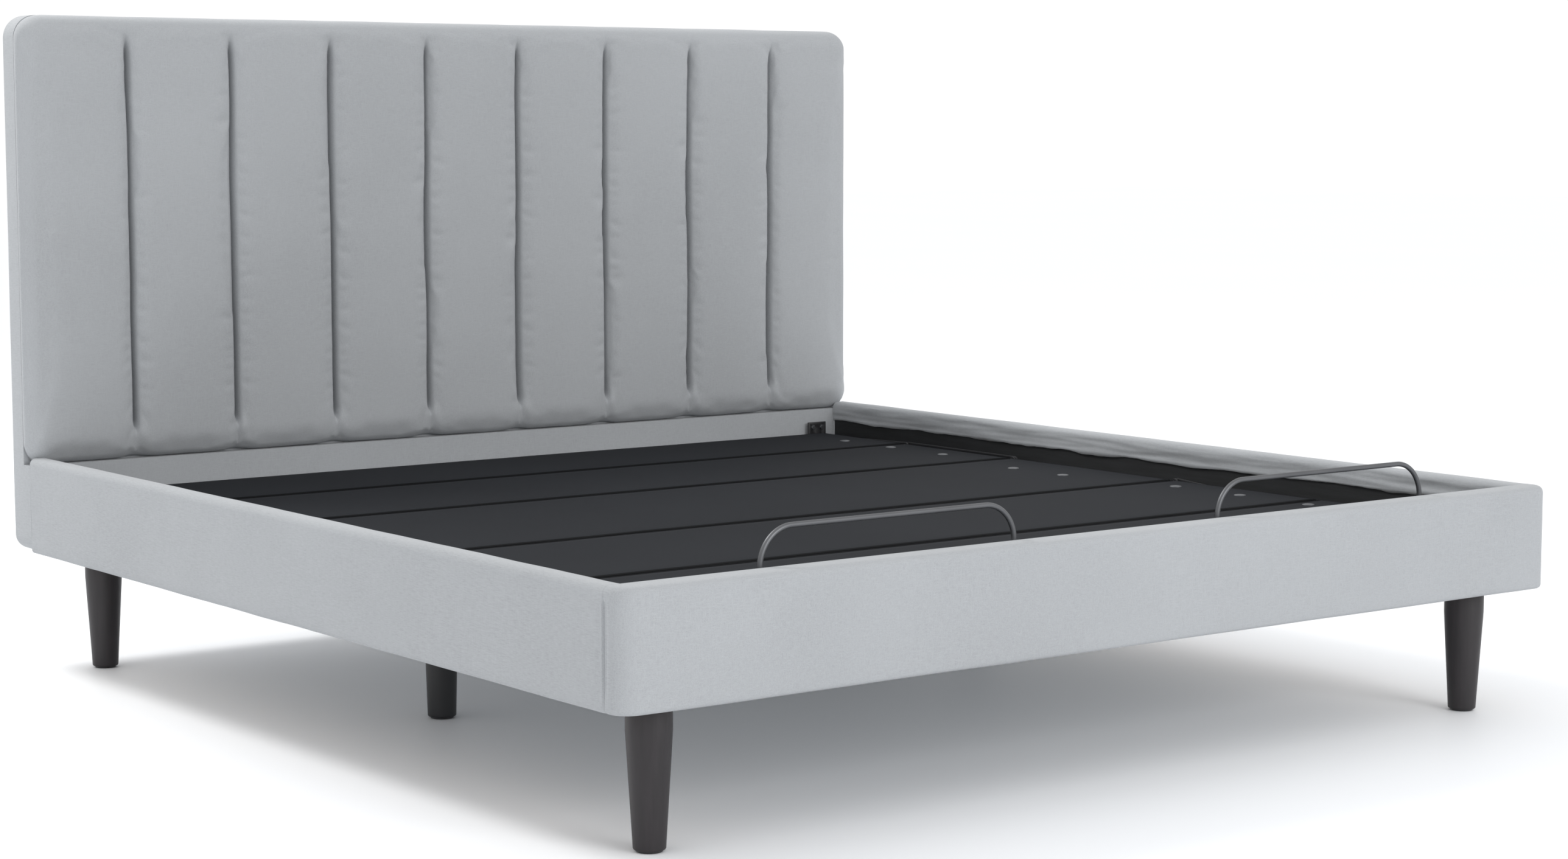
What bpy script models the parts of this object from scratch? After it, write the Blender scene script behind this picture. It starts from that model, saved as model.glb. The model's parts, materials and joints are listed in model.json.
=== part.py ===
"""King-size upholstered bed frame with a built-in adjustable base.

Metres, +Z up.  The origin is the centre of the footprint on the floor, the headboard is
towards +Y and the foot towards -Y.  Every sub-part is one closed body in one object, and a
piece that moves is parented to an empty on its hinge line or at its slide.
"""
import math

import bmesh
import bpy
from mathutils import Matrix, Vector

# ---- driving dimensions --------------------------------------------------------------------
BED_WIDTH = 2.03
BED_LENGTH = 2.16
HEADBOARD_TOP = 1.277
HEADBOARD_DEPTH = 0.0885
PAD_DEPTH = 0.040
PAD_PROUD = 0.0115
PAD_BOTTOM = 0.400
RAIL_BOTTOM = 0.227
RAIL_TOP = 0.414
RAIL_DEPTH = 0.040
FOOT_RAIL_DEPTH = 0.045
COVER_THICK = 0.006
FLAP_THICK = 0.003
FLAP_BOTTOM = 0.375
FIT = 0.0003

DECK_TOP = 0.347
DECK_THICK = 0.022
DECK_HALF_WIDTH = 0.930
DECK_HEAD = 0.970
DECK_FOOT = -1.008
PILLOW_SEAM = 0.670
BACK_SEAM = 0.305
THIGH_SEAM = -0.195
KNEE_SEAM = -0.595
SEAM_HALF_GAP = 0.0055

HINGE_Z = 0.341
KNEE_Z = 0.312
HINGE_ROD_RADIUS = 0.004
EYE_RADIUS = 0.008
STEEL = 0.0045
INNER_LAYER = 0.9320
OUTER_LAYER = 0.9375
FLANGE_INNER = 0.895
FLANGE_TOP = DECK_TOP - DECK_THICK - FIT
FLANGE_THICK = 0.005
BAR_TOP = FLANGE_TOP
BAR_BOTTOM = 0.2997

BAR_HALF_DEPTH = 0.0125
BAR_OFFSET = 0.0675
EYE_CLEAR = 0.022

LEG_X = 0.900
LEG_FRONT_Y = -0.982
LEG_REAR_Y = 0.916
LEG_TOP_RADIUS = 0.0355
LEG_FOOT_RADIUS = 0.025
LEG_SHOULDER_Z = 0.182
LEG_CHAMFER = 0.0015
MID_LEG_X = 0.630
MID_LEG_Y = 0.075
MID_LEG_TOP_RADIUS = 0.030
MID_LEG_SHOULDER_Z = 0.160
MID_LEG_FOOT_RADIUS = 0.0258
LEDGER_TOP = 0.2547
LEDGER_INNER = 0.915
TUBE_BOTTOM = LEDGER_TOP + FIT
TUBE_TOP = 0.2947
TUBE_INNER = 0.905
TUBE_OUTER = 0.945
TUBE_FOOT = -1.000
TUBE_HEAD = 0.985
CROSS_HALF_DEPTH = 0.015
HEAD_TUBE_Y = 0.915
FOOT_TUBE_Y = -0.945

PUSH_Z = 0.199
HEAD_DRIVE_X = 0.140
FOOT_DRIVE_X = -0.140
BACK_TRAVEL = math.radians(60)
THIGH_TRAVEL = math.radians(35)
PILLOW_TRAVEL = math.radians(30)
PILLOW_PUSH_Z = 0.256
LINK_OFFSET = (-0.035, -0.065)
DRIVE_SIZE = 0.045
DRIVE_ROD = 0.010
DRIVE_PIN = 0.005
DRIVE_MOTOR = 0.024
DRIVE_REACH = 0.034
DRIVE_CHEEK_GAP = 0.0065
FORK_GAP = 0.0105
HEAD_SLOT = (0.140, 0.166, 0.0088)
FOOT_SLOT = (0.1415, 0.1495, 0.0065)
PILLOW_SLOT = (0.0850, 0.0885, 0.0052)

BRACKET_X = (0.893, 0.944)
BRACKET_Y = (0.9785, 0.9830)
BRACKET_TOP = 0.371
BRACKET_HOLES = (0.906, 0.931)
BRACKET_HOLE_Z = 0.3585
BRACKET_HOLE_RADIUS = 0.005
CONTROL_X = (-0.450, -0.290)
CONTROL_Z = (0.262, 0.304)
CONTROL_DEPTH = 0.100
INLET_INSET = 0.030
INLET_HALF_WIDTH = 0.013
INLET_HALF_HEIGHT = 0.009
INLET_DEPTH = 0.012
SOCKET_START = 0.068
SOCKET_PITCH = 0.022
SOCKET_COUNT = 4
SOCKET_RADIUS = 0.005
SOCKET_DEPTH = 0.008

RETAINER_Y = -1.022
RETAINER_X = 0.476
RETAINER_HALF_WIDTH = 0.2505
RETAINER_TOP = 0.472
RETAINER_ROD = 0.0045
RETAINER_CORNER = 0.060
RETAINER_BEND = 0.016
RETAINER_TAIL = 0.085

HALF_WIDTH = BED_WIDTH / 2
FRONT = -BED_LENGTH / 2
BACK = BED_LENGTH / 2
HEADBOARD_FRONT = BACK - HEADBOARD_DEPTH
RAIL_INNER = HALF_WIDTH - RAIL_DEPTH
RAIL_START = FRONT + FOOT_RAIL_DEPTH + FIT
RAIL_END = HEADBOARD_FRONT - FIT
CORE_INNER = RAIL_INNER + FLAP_THICK
DECK_BOTTOM = DECK_TOP - DECK_THICK

for old in list(bpy.data.objects):
    bpy.data.objects.remove(old, do_unlink=True)


# ---- materials -----------------------------------------------------------------------------
def finish(name, colour, roughness, metallic=0.0):
    material = bpy.data.materials.new(name)
    material.use_nodes = True
    shader = material.node_tree.nodes["Principled BSDF"]
    shader.inputs["Base Color"].default_value = (*colour, 1.0)
    shader.inputs["Roughness"].default_value = roughness
    shader.inputs["Metallic"].default_value = metallic
    return material


LIGHT_FABRIC = finish("light_grey_fabric", (0.42, 0.43, 0.45), 0.9)
DARK_FABRIC = finish("charcoal_fabric", (0.035, 0.037, 0.042), 0.95)
BOARD = finish("black_board", (0.02, 0.02, 0.022), 0.8)
TIMBER = finish("timber", (0.42, 0.29, 0.17), 0.7)
LEG_WOOD = finish("espresso_wood", (0.045, 0.035, 0.038), 0.45)
BLACK_STEEL = finish("black_steel", (0.02, 0.02, 0.022), 0.45, 0.6)
BRIGHT_STEEL = finish("bright_steel", (0.55, 0.55, 0.56), 0.3, 1.0)
GREY_STEEL = finish("grey_steel", (0.16, 0.17, 0.18), 0.4, 0.8)
BLACK_PLASTIC = finish("black_plastic", (0.025, 0.025, 0.027), 0.5)

SCENE = bpy.context.scene.collection


# ---- building helpers ----------------------------------------------------------------------
def pivot(name, x, y, z):
    """An empty on a joint's axis."""
    empty = bpy.data.objects.new(name, None)
    empty.location = (x, y, z)
    SCENE.objects.link(empty)
    return empty


def place(name, bm, material, parent=None, smooth=False):
    """Make an object from a world-space bmesh, with its origin at the middle of its box."""
    low = Vector([min(v.co[i] for v in bm.verts) for i in range(3)])
    high = Vector([max(v.co[i] for v in bm.verts) for i in range(3)])
    centre = (low + high) / 2
    bmesh.ops.translate(bm, verts=bm.verts, vec=-centre)
    bmesh.ops.recalc_face_normals(bm, faces=bm.faces)
    mesh = bpy.data.meshes.new(name)
    bm.to_mesh(mesh)
    bm.free()
    mesh.materials.append(material)
    if smooth:
        mesh.shade_smooth()
        mesh.set_sharp_from_angle(angle=math.radians(35))
    piece = bpy.data.objects.new(name, mesh)
    piece.location = centre
    SCENE.objects.link(piece)
    if parent:
        piece.parent = parent
        piece.matrix_parent_inverse = Matrix.Translation(parent.location).inverted()
    return piece


def box_mesh(low, high):
    bm = bmesh.new()
    bmesh.ops.create_cube(bm, size=1.0)
    size = [high[i] - low[i] for i in range(3)]
    middle = [(high[i] + low[i]) / 2 for i in range(3)]
    bmesh.ops.scale(bm, verts=bm.verts, vec=size)
    bmesh.ops.translate(bm, verts=bm.verts, vec=middle)
    return bm


def round_edges(bm, chosen, radius, segments):
    edges = [e for e in bm.edges if chosen(e.verts[0].co, e.verts[1].co)]
    bmesh.ops.bevel(bm, geom=edges, offset=radius, segments=segments, profile=0.5, affect="EDGES")
    return bm


def prism_mesh(outline, x0, x1):
    """Extrude an outline of (y, z) points along X."""
    bm = bmesh.new()
    face = bm.faces.new([bm.verts.new((x0, y, z)) for y, z in outline])
    grown = bmesh.ops.extrude_face_region(bm, geom=[face])["geom"]
    bmesh.ops.translate(bm, verts=[g for g in grown if isinstance(g, bmesh.types.BMVert)],
                        vec=(x1 - x0, 0, 0))
    return bm


def rod_mesh(start, end, radius, segments=16):
    """A round bar between two points."""
    start, end = Vector(start), Vector(end)
    turn = (end - start).to_track_quat("Z", "Y").to_matrix().to_4x4()
    bm = bmesh.new()
    bmesh.ops.create_cone(bm, cap_ends=True, segments=segments, radius1=radius, radius2=radius,
                          depth=(end - start).length, matrix=Matrix.Translation((start + end) / 2) @ turn)
    return bm


def turned_mesh(profile, x, y, segments):
    """Turn a list of (radius, z), top to bottom, about the vertical through x, y."""
    bm = bmesh.new()
    rings = []
    for radius, z in profile:
        angles = [2 * math.pi * k / segments for k in range(segments)]
        rings.append([bm.verts.new((x + radius * math.cos(a), y + radius * math.sin(a), z)) for a in angles])
    for upper, lower in zip(rings, rings[1:]):
        for k in range(segments):
            n = (k + 1) % segments
            bm.faces.new((upper[k], upper[n], lower[n], lower[k]))
    bm.faces.new(rings[0])
    bm.faces.new(rings[-1])
    return bm


def helper(owner, bm, operation):
    """A hidden shape that is joined to, or cut from, its owner."""
    shape = place(owner.name + "_helper", bm, owner.data.materials[0])
    shape.hide_render = True
    shape.display_type = "WIRE"
    modifier = owner.modifiers.new(operation.lower(), "BOOLEAN")
    modifier.operation = operation
    modifier.solver = "EXACT"
    modifier.object = shape


def join(owner, bm):
    helper(owner, bm, "UNION")


def cut(owner, bm):
    helper(owner, bm, "DIFFERENCE")


def arc(y, z, radius, first, last, steps):
    """Points on an arc in the YZ plane, angles in degrees."""
    turns = [math.radians(first + (last - first) * k / steps) for k in range(steps + 1)]
    return [(y + radius * math.cos(t), z + radius * math.sin(t)) for t in turns]


def capsule(y0, z0, y1, z1, radius, steps=6):
    """A bar outline with round ends from one centre to another."""
    along = math.degrees(math.atan2(z1 - z0, y1 - y0))
    return (arc(y1, z1, radius, along - 90, along + 90, steps)
            + arc(y0, z0, radius, along + 90, along + 270, steps))


def box(name, low, high, material, parent=None, bevel=0.0):
    bm = box_mesh(low, high)
    if bevel:
        round_edges(bm, lambda a, b: True, bevel, 2)
    return place(name, bm, material, parent, smooth=bevel > 0)


# ---- headboard -----------------------------------------------------------------------------
HEADBOARD_TOP_CORNER = 0.045
HEADBOARD_LOW_CORNER = 0.030
HEADBOARD_EDGE = 0.012


def headboard_slab(y0, y1, z0, low_corner, edge_y):
    """An upright slab whose corners are rounded, and its outline on the face at edge_y too."""
    bm = box_mesh((-HALF_WIDTH, y0, z0), (HALF_WIDTH, y1, HEADBOARD_TOP))
    round_edges(bm, lambda a, b: abs(a.y - b.y) > 1e-4 and min(a.z, b.z) > 1, HEADBOARD_TOP_CORNER, 6)
    if low_corner:
        round_edges(bm, lambda a, b: abs(a.y - b.y) > 1e-4 and max(a.z, b.z) < z0 + 1e-4, low_corner, 5)
    round_edges(bm, lambda a, b: abs(a.y - edge_y) < 1e-4 and abs(b.y - edge_y) < 1e-4, HEADBOARD_EDGE, 3)
    return bm


def make_headboard():
    frame = place("headboard_frame",
                  headboard_slab(HEADBOARD_FRONT, BACK, RAIL_BOTTOM, HEADBOARD_LOW_CORNER, BACK),
                  LIGHT_FABRIC, smooth=True)
    pad_back = HEADBOARD_FRONT - PAD_PROUD + PAD_DEPTH
    cut(frame, box_mesh((-2, -2, PAD_BOTTOM - FIT), (2, pad_back + FIT, 2)))
    pad = place("headboard_pad",
                headboard_slab(pad_back - PAD_DEPTH, pad_back, PAD_BOTTOM, 0, pad_back - PAD_DEPTH),
                LIGHT_FABRIC, smooth=True)
    for xs in ((-2, FIT - RAIL_INNER), (RAIL_INNER - FIT, 2)):
        cut(pad, box_mesh((xs[0], -2, 0), (xs[1], RAIL_END + FIT, RAIL_TOP + FIT)))


# ---- bed rails -----------------------------------------------------------------------------
RAIL_TOP_ROUND = 0.012
RAIL_LOW_ROUND = 0.007
FOOT_CORNER = 0.034


def cover_round(bm, faces_out):
    """Round a rail cover's long top and bottom edges where faces_out says they show."""
    top = RAIL_TOP - 1e-4
    low = RAIL_BOTTOM + 1e-4
    round_edges(bm, lambda a, b: min(a.z, b.z) > top and faces_out(a, b), RAIL_TOP_ROUND, 3)
    round_edges(bm, lambda a, b: max(a.z, b.z) < low and faces_out(a, b), RAIL_LOW_ROUND, 2)


def make_rail_core(name, low, high, cover):
    """The board inside a rail, in a pocket of the padded cover that is open inwards below the flap."""
    place(name, box_mesh(low, high), BOARD)
    grow = Vector((FIT, FIT, FIT))
    cut(cover, box_mesh(Vector(low) - grow, Vector(high) + grow))


def make_side_rail(side, sign):
    bm = box_mesh((min(sign * RAIL_INNER, sign * HALF_WIDTH), RAIL_START, RAIL_BOTTOM),
                  (max(sign * RAIL_INNER, sign * HALF_WIDTH), RAIL_END, RAIL_TOP))
    cover_round(bm, lambda a, b: abs(a.x - b.x) < 1e-4)
    cover = place(f"side_rail_{side}_cover", bm, LIGHT_FABRIC, smooth=True)
    inner, outer = sign * CORE_INNER, sign * (HALF_WIDTH - COVER_THICK)
    low = (min(inner, outer), RAIL_START + FLAP_THICK, RAIL_BOTTOM + FLAP_THICK)
    high = (max(inner, outer), RAIL_END - FLAP_THICK, RAIL_TOP - COVER_THICK)
    make_rail_core(f"side_rail_{side}", low, high, cover)
    mouth = (sign * (RAIL_INNER - 0.01), sign * (CORE_INNER + FIT))
    cut(cover, box_mesh((min(mouth), low[1] - FIT, low[2] - FIT), (max(mouth), high[1] + FIT, FLAP_BOTTOM)))


def make_foot_rail():
    inner = FRONT + FOOT_RAIL_DEPTH
    bm = box_mesh((-HALF_WIDTH, FRONT, RAIL_BOTTOM), (HALF_WIDTH, inner, RAIL_TOP))
    round_edges(bm, lambda a, b: abs(a.z - b.z) > 0.1 and max(a.y, b.y) < FRONT + 1e-4, FOOT_CORNER, 6)
    cover_round(bm, lambda a, b: min(a.y, b.y) < inner - 1e-4 or abs(a.x - b.x) > 1)
    cover = place("foot_rail_cover", bm, LIGHT_FABRIC, smooth=True)
    half = HALF_WIDTH - RAIL_DEPTH
    low = (-half, FRONT + COVER_THICK, RAIL_BOTTOM + FLAP_THICK)
    high = (half, inner - FLAP_THICK, RAIL_TOP - COVER_THICK)
    make_rail_core("foot_rail", low, high, cover)
    cut(cover, box_mesh((-half - FIT, inner - FLAP_THICK - FIT, low[2] - FIT),
                        (half + FIT, inner + 0.01, FLAP_BOTTOM)))


# ---- legs, corner blocks and ledgers ----------------------------------------------------------
BLOCK_SIZE = 0.145
FRONT_BLOCK_DEPTH = 0.137
REAR_BLOCK_DEPTH = 0.162
BEAM_HALF_DEPTH = 0.020
BLOCK_LOW = RAIL_BOTTOM + FIT


def make_corner(end, side, sign, y0, y1, leg_y):
    """A corner block between two rails, with the turned leg under it."""
    xs = (sign * (RAIL_INNER - FIT), sign * (RAIL_INNER - BLOCK_SIZE))
    box(f"corner_block_{end}_{side}", (min(xs), y0, BLOCK_LOW), (max(xs), y1, LEDGER_TOP), TIMBER)
    top = BLOCK_LOW - FIT
    profile = [(LEG_TOP_RADIUS - LEG_CHAMFER, top), (LEG_TOP_RADIUS, top - LEG_CHAMFER),
               (LEG_TOP_RADIUS, LEG_SHOULDER_Z),
               (LEG_FOOT_RADIUS, 0.004), (LEG_FOOT_RADIUS - 0.003, 0.0)]
    place(f"leg_{end}_{side}", turned_mesh(profile, sign * LEG_X, leg_y, 24), LEG_WOOD, smooth=True)


def make_supports():
    front = FRONT + FOOT_RAIL_DEPTH + FIT
    front_end = front + FRONT_BLOCK_DEPTH
    rear = HEADBOARD_FRONT - FIT
    rear_start = rear - REAR_BLOCK_DEPTH
    for side, sign in (("left", -1), ("right", 1)):
        make_corner("front", side, sign, front, front_end, LEG_FRONT_Y)
        make_corner("rear", side, sign, rear_start, rear, LEG_REAR_Y)
        xs = (sign * (RAIL_INNER - FIT), sign * LEDGER_INNER)
        box(f"ledger_{side}", (min(xs), front_end + FIT, BLOCK_LOW),
            (max(xs), rear_start - FIT, LEDGER_TOP), TIMBER)
        profile = [(MID_LEG_TOP_RADIUS, BLOCK_LOW - FIT), (MID_LEG_TOP_RADIUS, MID_LEG_SHOULDER_Z),
                   (MID_LEG_FOOT_RADIUS, 0.003), (MID_LEG_FOOT_RADIUS - 0.0023, 0.0)]
        place(f"mid_leg_{side}", turned_mesh(profile, sign * MID_LEG_X, MID_LEG_Y, 20),
              BLACK_PLASTIC, smooth=True)
    half = LEDGER_INNER - FIT
    box("centre_beam", (-half, MID_LEG_Y - BEAM_HALF_DEPTH, BLOCK_LOW),
        (half, MID_LEG_Y + BEAM_HALF_DEPTH, LEDGER_TOP), BLACK_STEEL, bevel=0.002)


# ---- drives: lever, actuator body and rod ---------------------------------------------------------
def lever_outline(hinge_y, hinge_z, drop, sweep, direction, bar_y, half_width, slot_near, slot_far):
    """Outline of a lever that hangs from a bar beside its hinge and ends around a radial slot.

    direction is +1 where the lever is pushed towards +Y.  The slot starts half a sweep before the
    vertical through the hinge.
    """
    half = sweep / 2
    along = Vector((-direction * math.sin(half), -math.cos(half)))
    across = Vector((along.y, -along.x)) * direction
    root = Vector((hinge_y, hinge_z))
    near = root + along * (slot_near - half_width * 1.35)
    far = root + along * (slot_far + half_width * 1.5)
    bar_near = bar_y - direction * BAR_HALF_DEPTH
    bar_far = bar_y + direction * BAR_HALF_DEPTH
    knee_z = hinge_z - drop * 0.67
    return [(bar_near, BAR_TOP), (bar_near, knee_z), tuple(near + across * half_width),
            tuple(far + across * half_width), tuple(far - across * half_width),
            (bar_near, hinge_z - drop * 0.98), (bar_far, knee_z), (bar_far, BAR_TOP)]


def slot_outline(hinge_y, hinge_z, sweep, direction, near, far, radius):
    half = sweep / 2
    along = Vector((-direction * math.sin(half), -math.cos(half)))
    root = Vector((hinge_y, hinge_z))
    start, end = root + along * near, root + along * far
    return capsule(start.x, start.y, end.x, end.y, radius)


def rear_fork(owner, x, y, z, top, gap, pin):
    """Two cheeks and a pin that hang from a tube and hold the back end of an actuator."""
    for cheek in (-1, 1):
        xs = (x + cheek * gap, x + cheek * (gap + STEEL))
        join(owner, prism_mesh([(y - 0.013, top), *arc(y, z, 0.013, 180, 360, 8), (y + 0.013, top)],
                               min(xs), max(xs)))
    join(owner, rod_mesh((x - gap - STEEL / 2, y, z), (x + gap + STEEL / 2, y, z), pin, 12))


def actuator(name, x, rear_y, z, direction, front_y, size, rod, pin, motor, parent=None):
    """Actuator casing: a square tube with a bore open at the front, a motor can and a rear eye."""
    half = size / 2
    tube_start = rear_y + direction * 0.034
    ys = (tube_start, front_y)
    casing = place(name, box_mesh((x - half, min(ys), z - half), (x + half, max(ys), z + half)),
                   BLACK_PLASTIC, parent)
    eye = (rear_y - direction * 0.011, tube_start + direction * 0.004)
    join(casing, box_mesh((x - 0.010, min(eye), z - 0.011), (x + 0.010, max(eye), z + 0.011)))
    side = 1 if x >= 0 else -1
    can_y = tube_start + direction * (motor + 0.004)
    join(casing, rod_mesh((x, can_y, z), (x + side * (half + motor * 3), can_y, z), motor, 20))
    cut(casing, rod_mesh((x - 0.02, rear_y, z), (x + 0.02, rear_y, z), pin + FIT, 12))
    bore_start = can_y + direction * (motor + 0.006)
    cut(casing, rod_mesh((x, bore_start, z), (x, front_y + direction * 0.02, z), rod + FIT, 16))
    return bore_start


def push_rod(name, x, z, direction, rod_start, pin_y, rod, pin, reach, cheek_gap, parent):
    """The rod that slides in an actuator, with a fork and a pin at its front end."""
    fork_back = pin_y - direction * (reach + 0.010)
    piece = place(name, rod_mesh((x, rod_start, z), (x, fork_back + direction * 0.006, z), rod, 16),
                  BRIGHT_STEEL, parent, smooth=True)
    ys = (fork_back, fork_back + direction * 0.010)
    width = cheek_gap + STEEL
    join(piece, box_mesh((x - width, min(ys), z - rod - 0.002), (x + width, max(ys), z + rod + 0.002)))
    tip = pin_y + direction * (pin + 0.006)
    cheek_ys = (fork_back + direction * 0.004, tip)
    for cheek in (-1, 1):
        xs = (x + cheek * cheek_gap, x + cheek * width)
        join(piece, box_mesh((min(xs), min(cheek_ys), z - pin - 0.005),
                             (max(xs), max(cheek_ys), z + pin + 0.005)))
    join(piece, rod_mesh((x - width + 0.001, pin_y, z), (x + width - 0.001, pin_y, z), pin, 12))


# ---- deck sections ---------------------------------------------------------------------------------
def deck_panel(name, y0, y1, parent=None):
    bm = box_mesh((-DECK_HALF_WIDTH, y0, DECK_BOTTOM), (DECK_HALF_WIDTH, y1, DECK_TOP))
    round_edges(bm, lambda a, b: min(a.z, b.z) > DECK_TOP - 1e-4, 0.004, 2)
    return place(name, bm, DARK_FABRIC, parent, smooth=True)


def side_arm(name, sign, layer, rear_eye, front_eye, parent, flange=None):
    """An angle-section arm under a panel's edge: an upright web with hinge eyes and a flange.

    rear_eye is towards the foot and front_eye towards the head, each (y, z) of a hinge line, or
    the y of a plain end.
    """
    outline = []
    holes = []
    web_low = FLANGE_TOP - FLANGE_THICK
    for eye, first, outward in ((rear_eye, 90, -1), (front_eye, 270, 1)):
        if isinstance(eye, tuple):
            points = arc(eye[0], eye[1], EYE_RADIUS, first, first + 180, 8)
            holes.append(eye)
            shoulder = (eye[0] - outward * EYE_CLEAR, web_low)
        else:
            points = [(eye, HINGE_Z), (eye, web_low)] if outward < 0 else [(eye, web_low), (eye, HINGE_Z)]
            shoulder = None
        if outward < 0:
            outline += points + ([shoulder] if shoulder else [])
        else:
            outline += ([shoulder] if shoulder else []) + points
    xs = (sign * layer, sign * (layer + STEEL))
    arm = place(name, prism_mesh(outline, min(xs), max(xs)), BLACK_STEEL, parent)
    ends = []
    for eye, outward in ((rear_eye, -1), (front_eye, 1)):
        ends.append(eye[0] - outward * (EYE_CLEAR + 0.002) if isinstance(eye, tuple) else eye - outward * 0.002)
    xs = (sign * FLANGE_INNER, sign * (layer + STEEL / 2))
    join(arm, box_mesh((min(xs), ends[0], web_low + 0.0001), (max(xs), ends[1], FLANGE_TOP - 0.0001)))
    for y, z in holes:
        cut(arm, rod_mesh((sign * (layer - 0.02), y, z), (sign * (layer + 0.02), y, z),
                          HINGE_ROD_RADIUS + FIT, 16))
    return arm


def hinge_rod(name, y, z, parent=None):
    reach = OUTER_LAYER + STEEL + 0.0025
    place(name, rod_mesh((-reach, y, z), (reach, y, z), HINGE_ROD_RADIUS, 16), BLACK_STEEL, parent,
          smooth=True)


def cross_bar(name, y, parent=None):
    half = FLANGE_INNER - FIT
    return place(name, box_mesh((-half, y - BAR_HALF_DEPTH, BAR_BOTTOM), (half, y + BAR_HALF_DEPTH, BAR_TOP)),
                 BLACK_STEEL, parent)


# ---- fixed base -------------------------------------------------------------------------------------
LINK_BASE = (THIGH_SEAM + LINK_OFFSET[0], HINGE_Z + LINK_OFFSET[1])
LINK_KNEE = (KNEE_SEAM + LINK_OFFSET[0], KNEE_Z + LINK_OFFSET[1])
LINK_INNER = 0.8835
LINK_THICK = 0.005
LINK_PIN = 0.005
REAR_PIN = 0.006
HEAD_REAR_Y = -0.167
FOOT_REAR_Y = 0.277


def make_base():
    for side, sign in (("left", -1), ("right", 1)):
        xs = (sign * TUBE_INNER, sign * TUBE_OUTER)
        tube = box(f"base_side_tube_{side}", (min(xs), TUBE_FOOT, TUBE_BOTTOM), (max(xs), TUBE_HEAD, TUBE_TOP),
                   BLACK_STEEL)
        for seam in (BACK_SEAM, THIGH_SEAM):
            xs = (sign * INNER_LAYER, sign * (INNER_LAYER + STEEL))
            lug = [(seam - 0.012, TUBE_TOP - 0.005), (seam + 0.012, TUBE_TOP - 0.005),
                   *arc(seam, HINGE_Z, EYE_RADIUS, 0, 180, 8)]
            join(tube, prism_mesh(lug, min(xs), max(xs)))
            cut(tube, rod_mesh((sign * 0.92, seam, HINGE_Z), (sign * 0.95, seam, HINGE_Z),
                               HINGE_ROD_RADIUS + FIT, 16))
        join(tube, rod_mesh((sign * (TUBE_INNER + 0.005), *LINK_BASE),
                            (sign * (LINK_INNER - 0.002), *LINK_BASE), LINK_PIN, 12))
    half = TUBE_INNER - FIT
    for name, y, top in (("head", HEAD_TUBE_Y, TUBE_TOP), ("back", FOOT_REAR_Y, BAR_TOP),
                         ("thigh", HEAD_REAR_Y, BAR_TOP), ("foot", FOOT_TUBE_Y, TUBE_TOP)):
        tube = place(f"base_cross_tube_{name}",
                     box_mesh((-half, y - CROSS_HALF_DEPTH, TUBE_BOTTOM),
                              (half, y + CROSS_HALF_DEPTH, top)), BLACK_STEEL)
        if name == "thigh":
            rear_fork(tube, HEAD_DRIVE_X, y, PUSH_Z, TUBE_BOTTOM + 0.005, FORK_GAP, REAR_PIN)
        if name == "back":
            rear_fork(tube, FOOT_DRIVE_X, y, PUSH_Z, TUBE_BOTTOM + 0.005, FORK_GAP, REAR_PIN)
    deck_panel("seat_panel", THIGH_SEAM + SEAM_HALF_GAP, BACK_SEAM - SEAM_HALF_GAP)
    hinge_rod("hinge_rod_back", BACK_SEAM, HINGE_Z)
    hinge_rod("hinge_rod_thigh", THIGH_SEAM, HINGE_Z)
    case_back = FOOT_REAR_Y - CROSS_HALF_DEPTH - FIT
    case_front = case_back - CONTROL_DEPTH
    case = box("control_box", (CONTROL_X[0], case_front, CONTROL_Z[0]),
               (CONTROL_X[1], case_back, CONTROL_Z[1]), BLACK_PLASTIC, bevel=0.003)
    middle = (CONTROL_Z[0] + CONTROL_Z[1]) / 2
    inlet = CONTROL_X[0] + INLET_INSET
    cut(case, box_mesh((inlet - INLET_HALF_WIDTH, case_front - 0.01, middle - INLET_HALF_HEIGHT),
                       (inlet + INLET_HALF_WIDTH, case_front + INLET_DEPTH, middle + INLET_HALF_HEIGHT)))
    for k in range(SOCKET_COUNT):
        x = CONTROL_X[0] + SOCKET_START + SOCKET_PITCH * k
        cut(case, rod_mesh((x, case_front - 0.01, middle), (x, case_front + SOCKET_DEPTH, middle),
                           SOCKET_RADIUS, 16))
    for side, sign in (("left", -1), ("right", 1)):
        xs = (sign * BRACKET_X[0], sign * BRACKET_X[1])
        bracket = box(f"head_bracket_{side}", (min(xs), BRACKET_Y[0], TUBE_TOP + FIT),
                      (max(xs), BRACKET_Y[1], BRACKET_TOP), BLACK_STEEL, bevel=0.0008)
        for x in BRACKET_HOLES:
            cut(bracket, rod_mesh((sign * x, BRACKET_Y[0] - 0.01, BRACKET_HOLE_Z),
                                  (sign * x, BRACKET_Y[1] + 0.01, BRACKET_HOLE_Z), BRACKET_HOLE_RADIUS, 12))


# ---- moving sections ------------------------------------------------------------------------------------
def drive_travel(depth, sweep):
    """How far the pin is from the vertical through the hinge at either end of the travel."""
    return depth * math.tan(sweep / 2)


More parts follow.
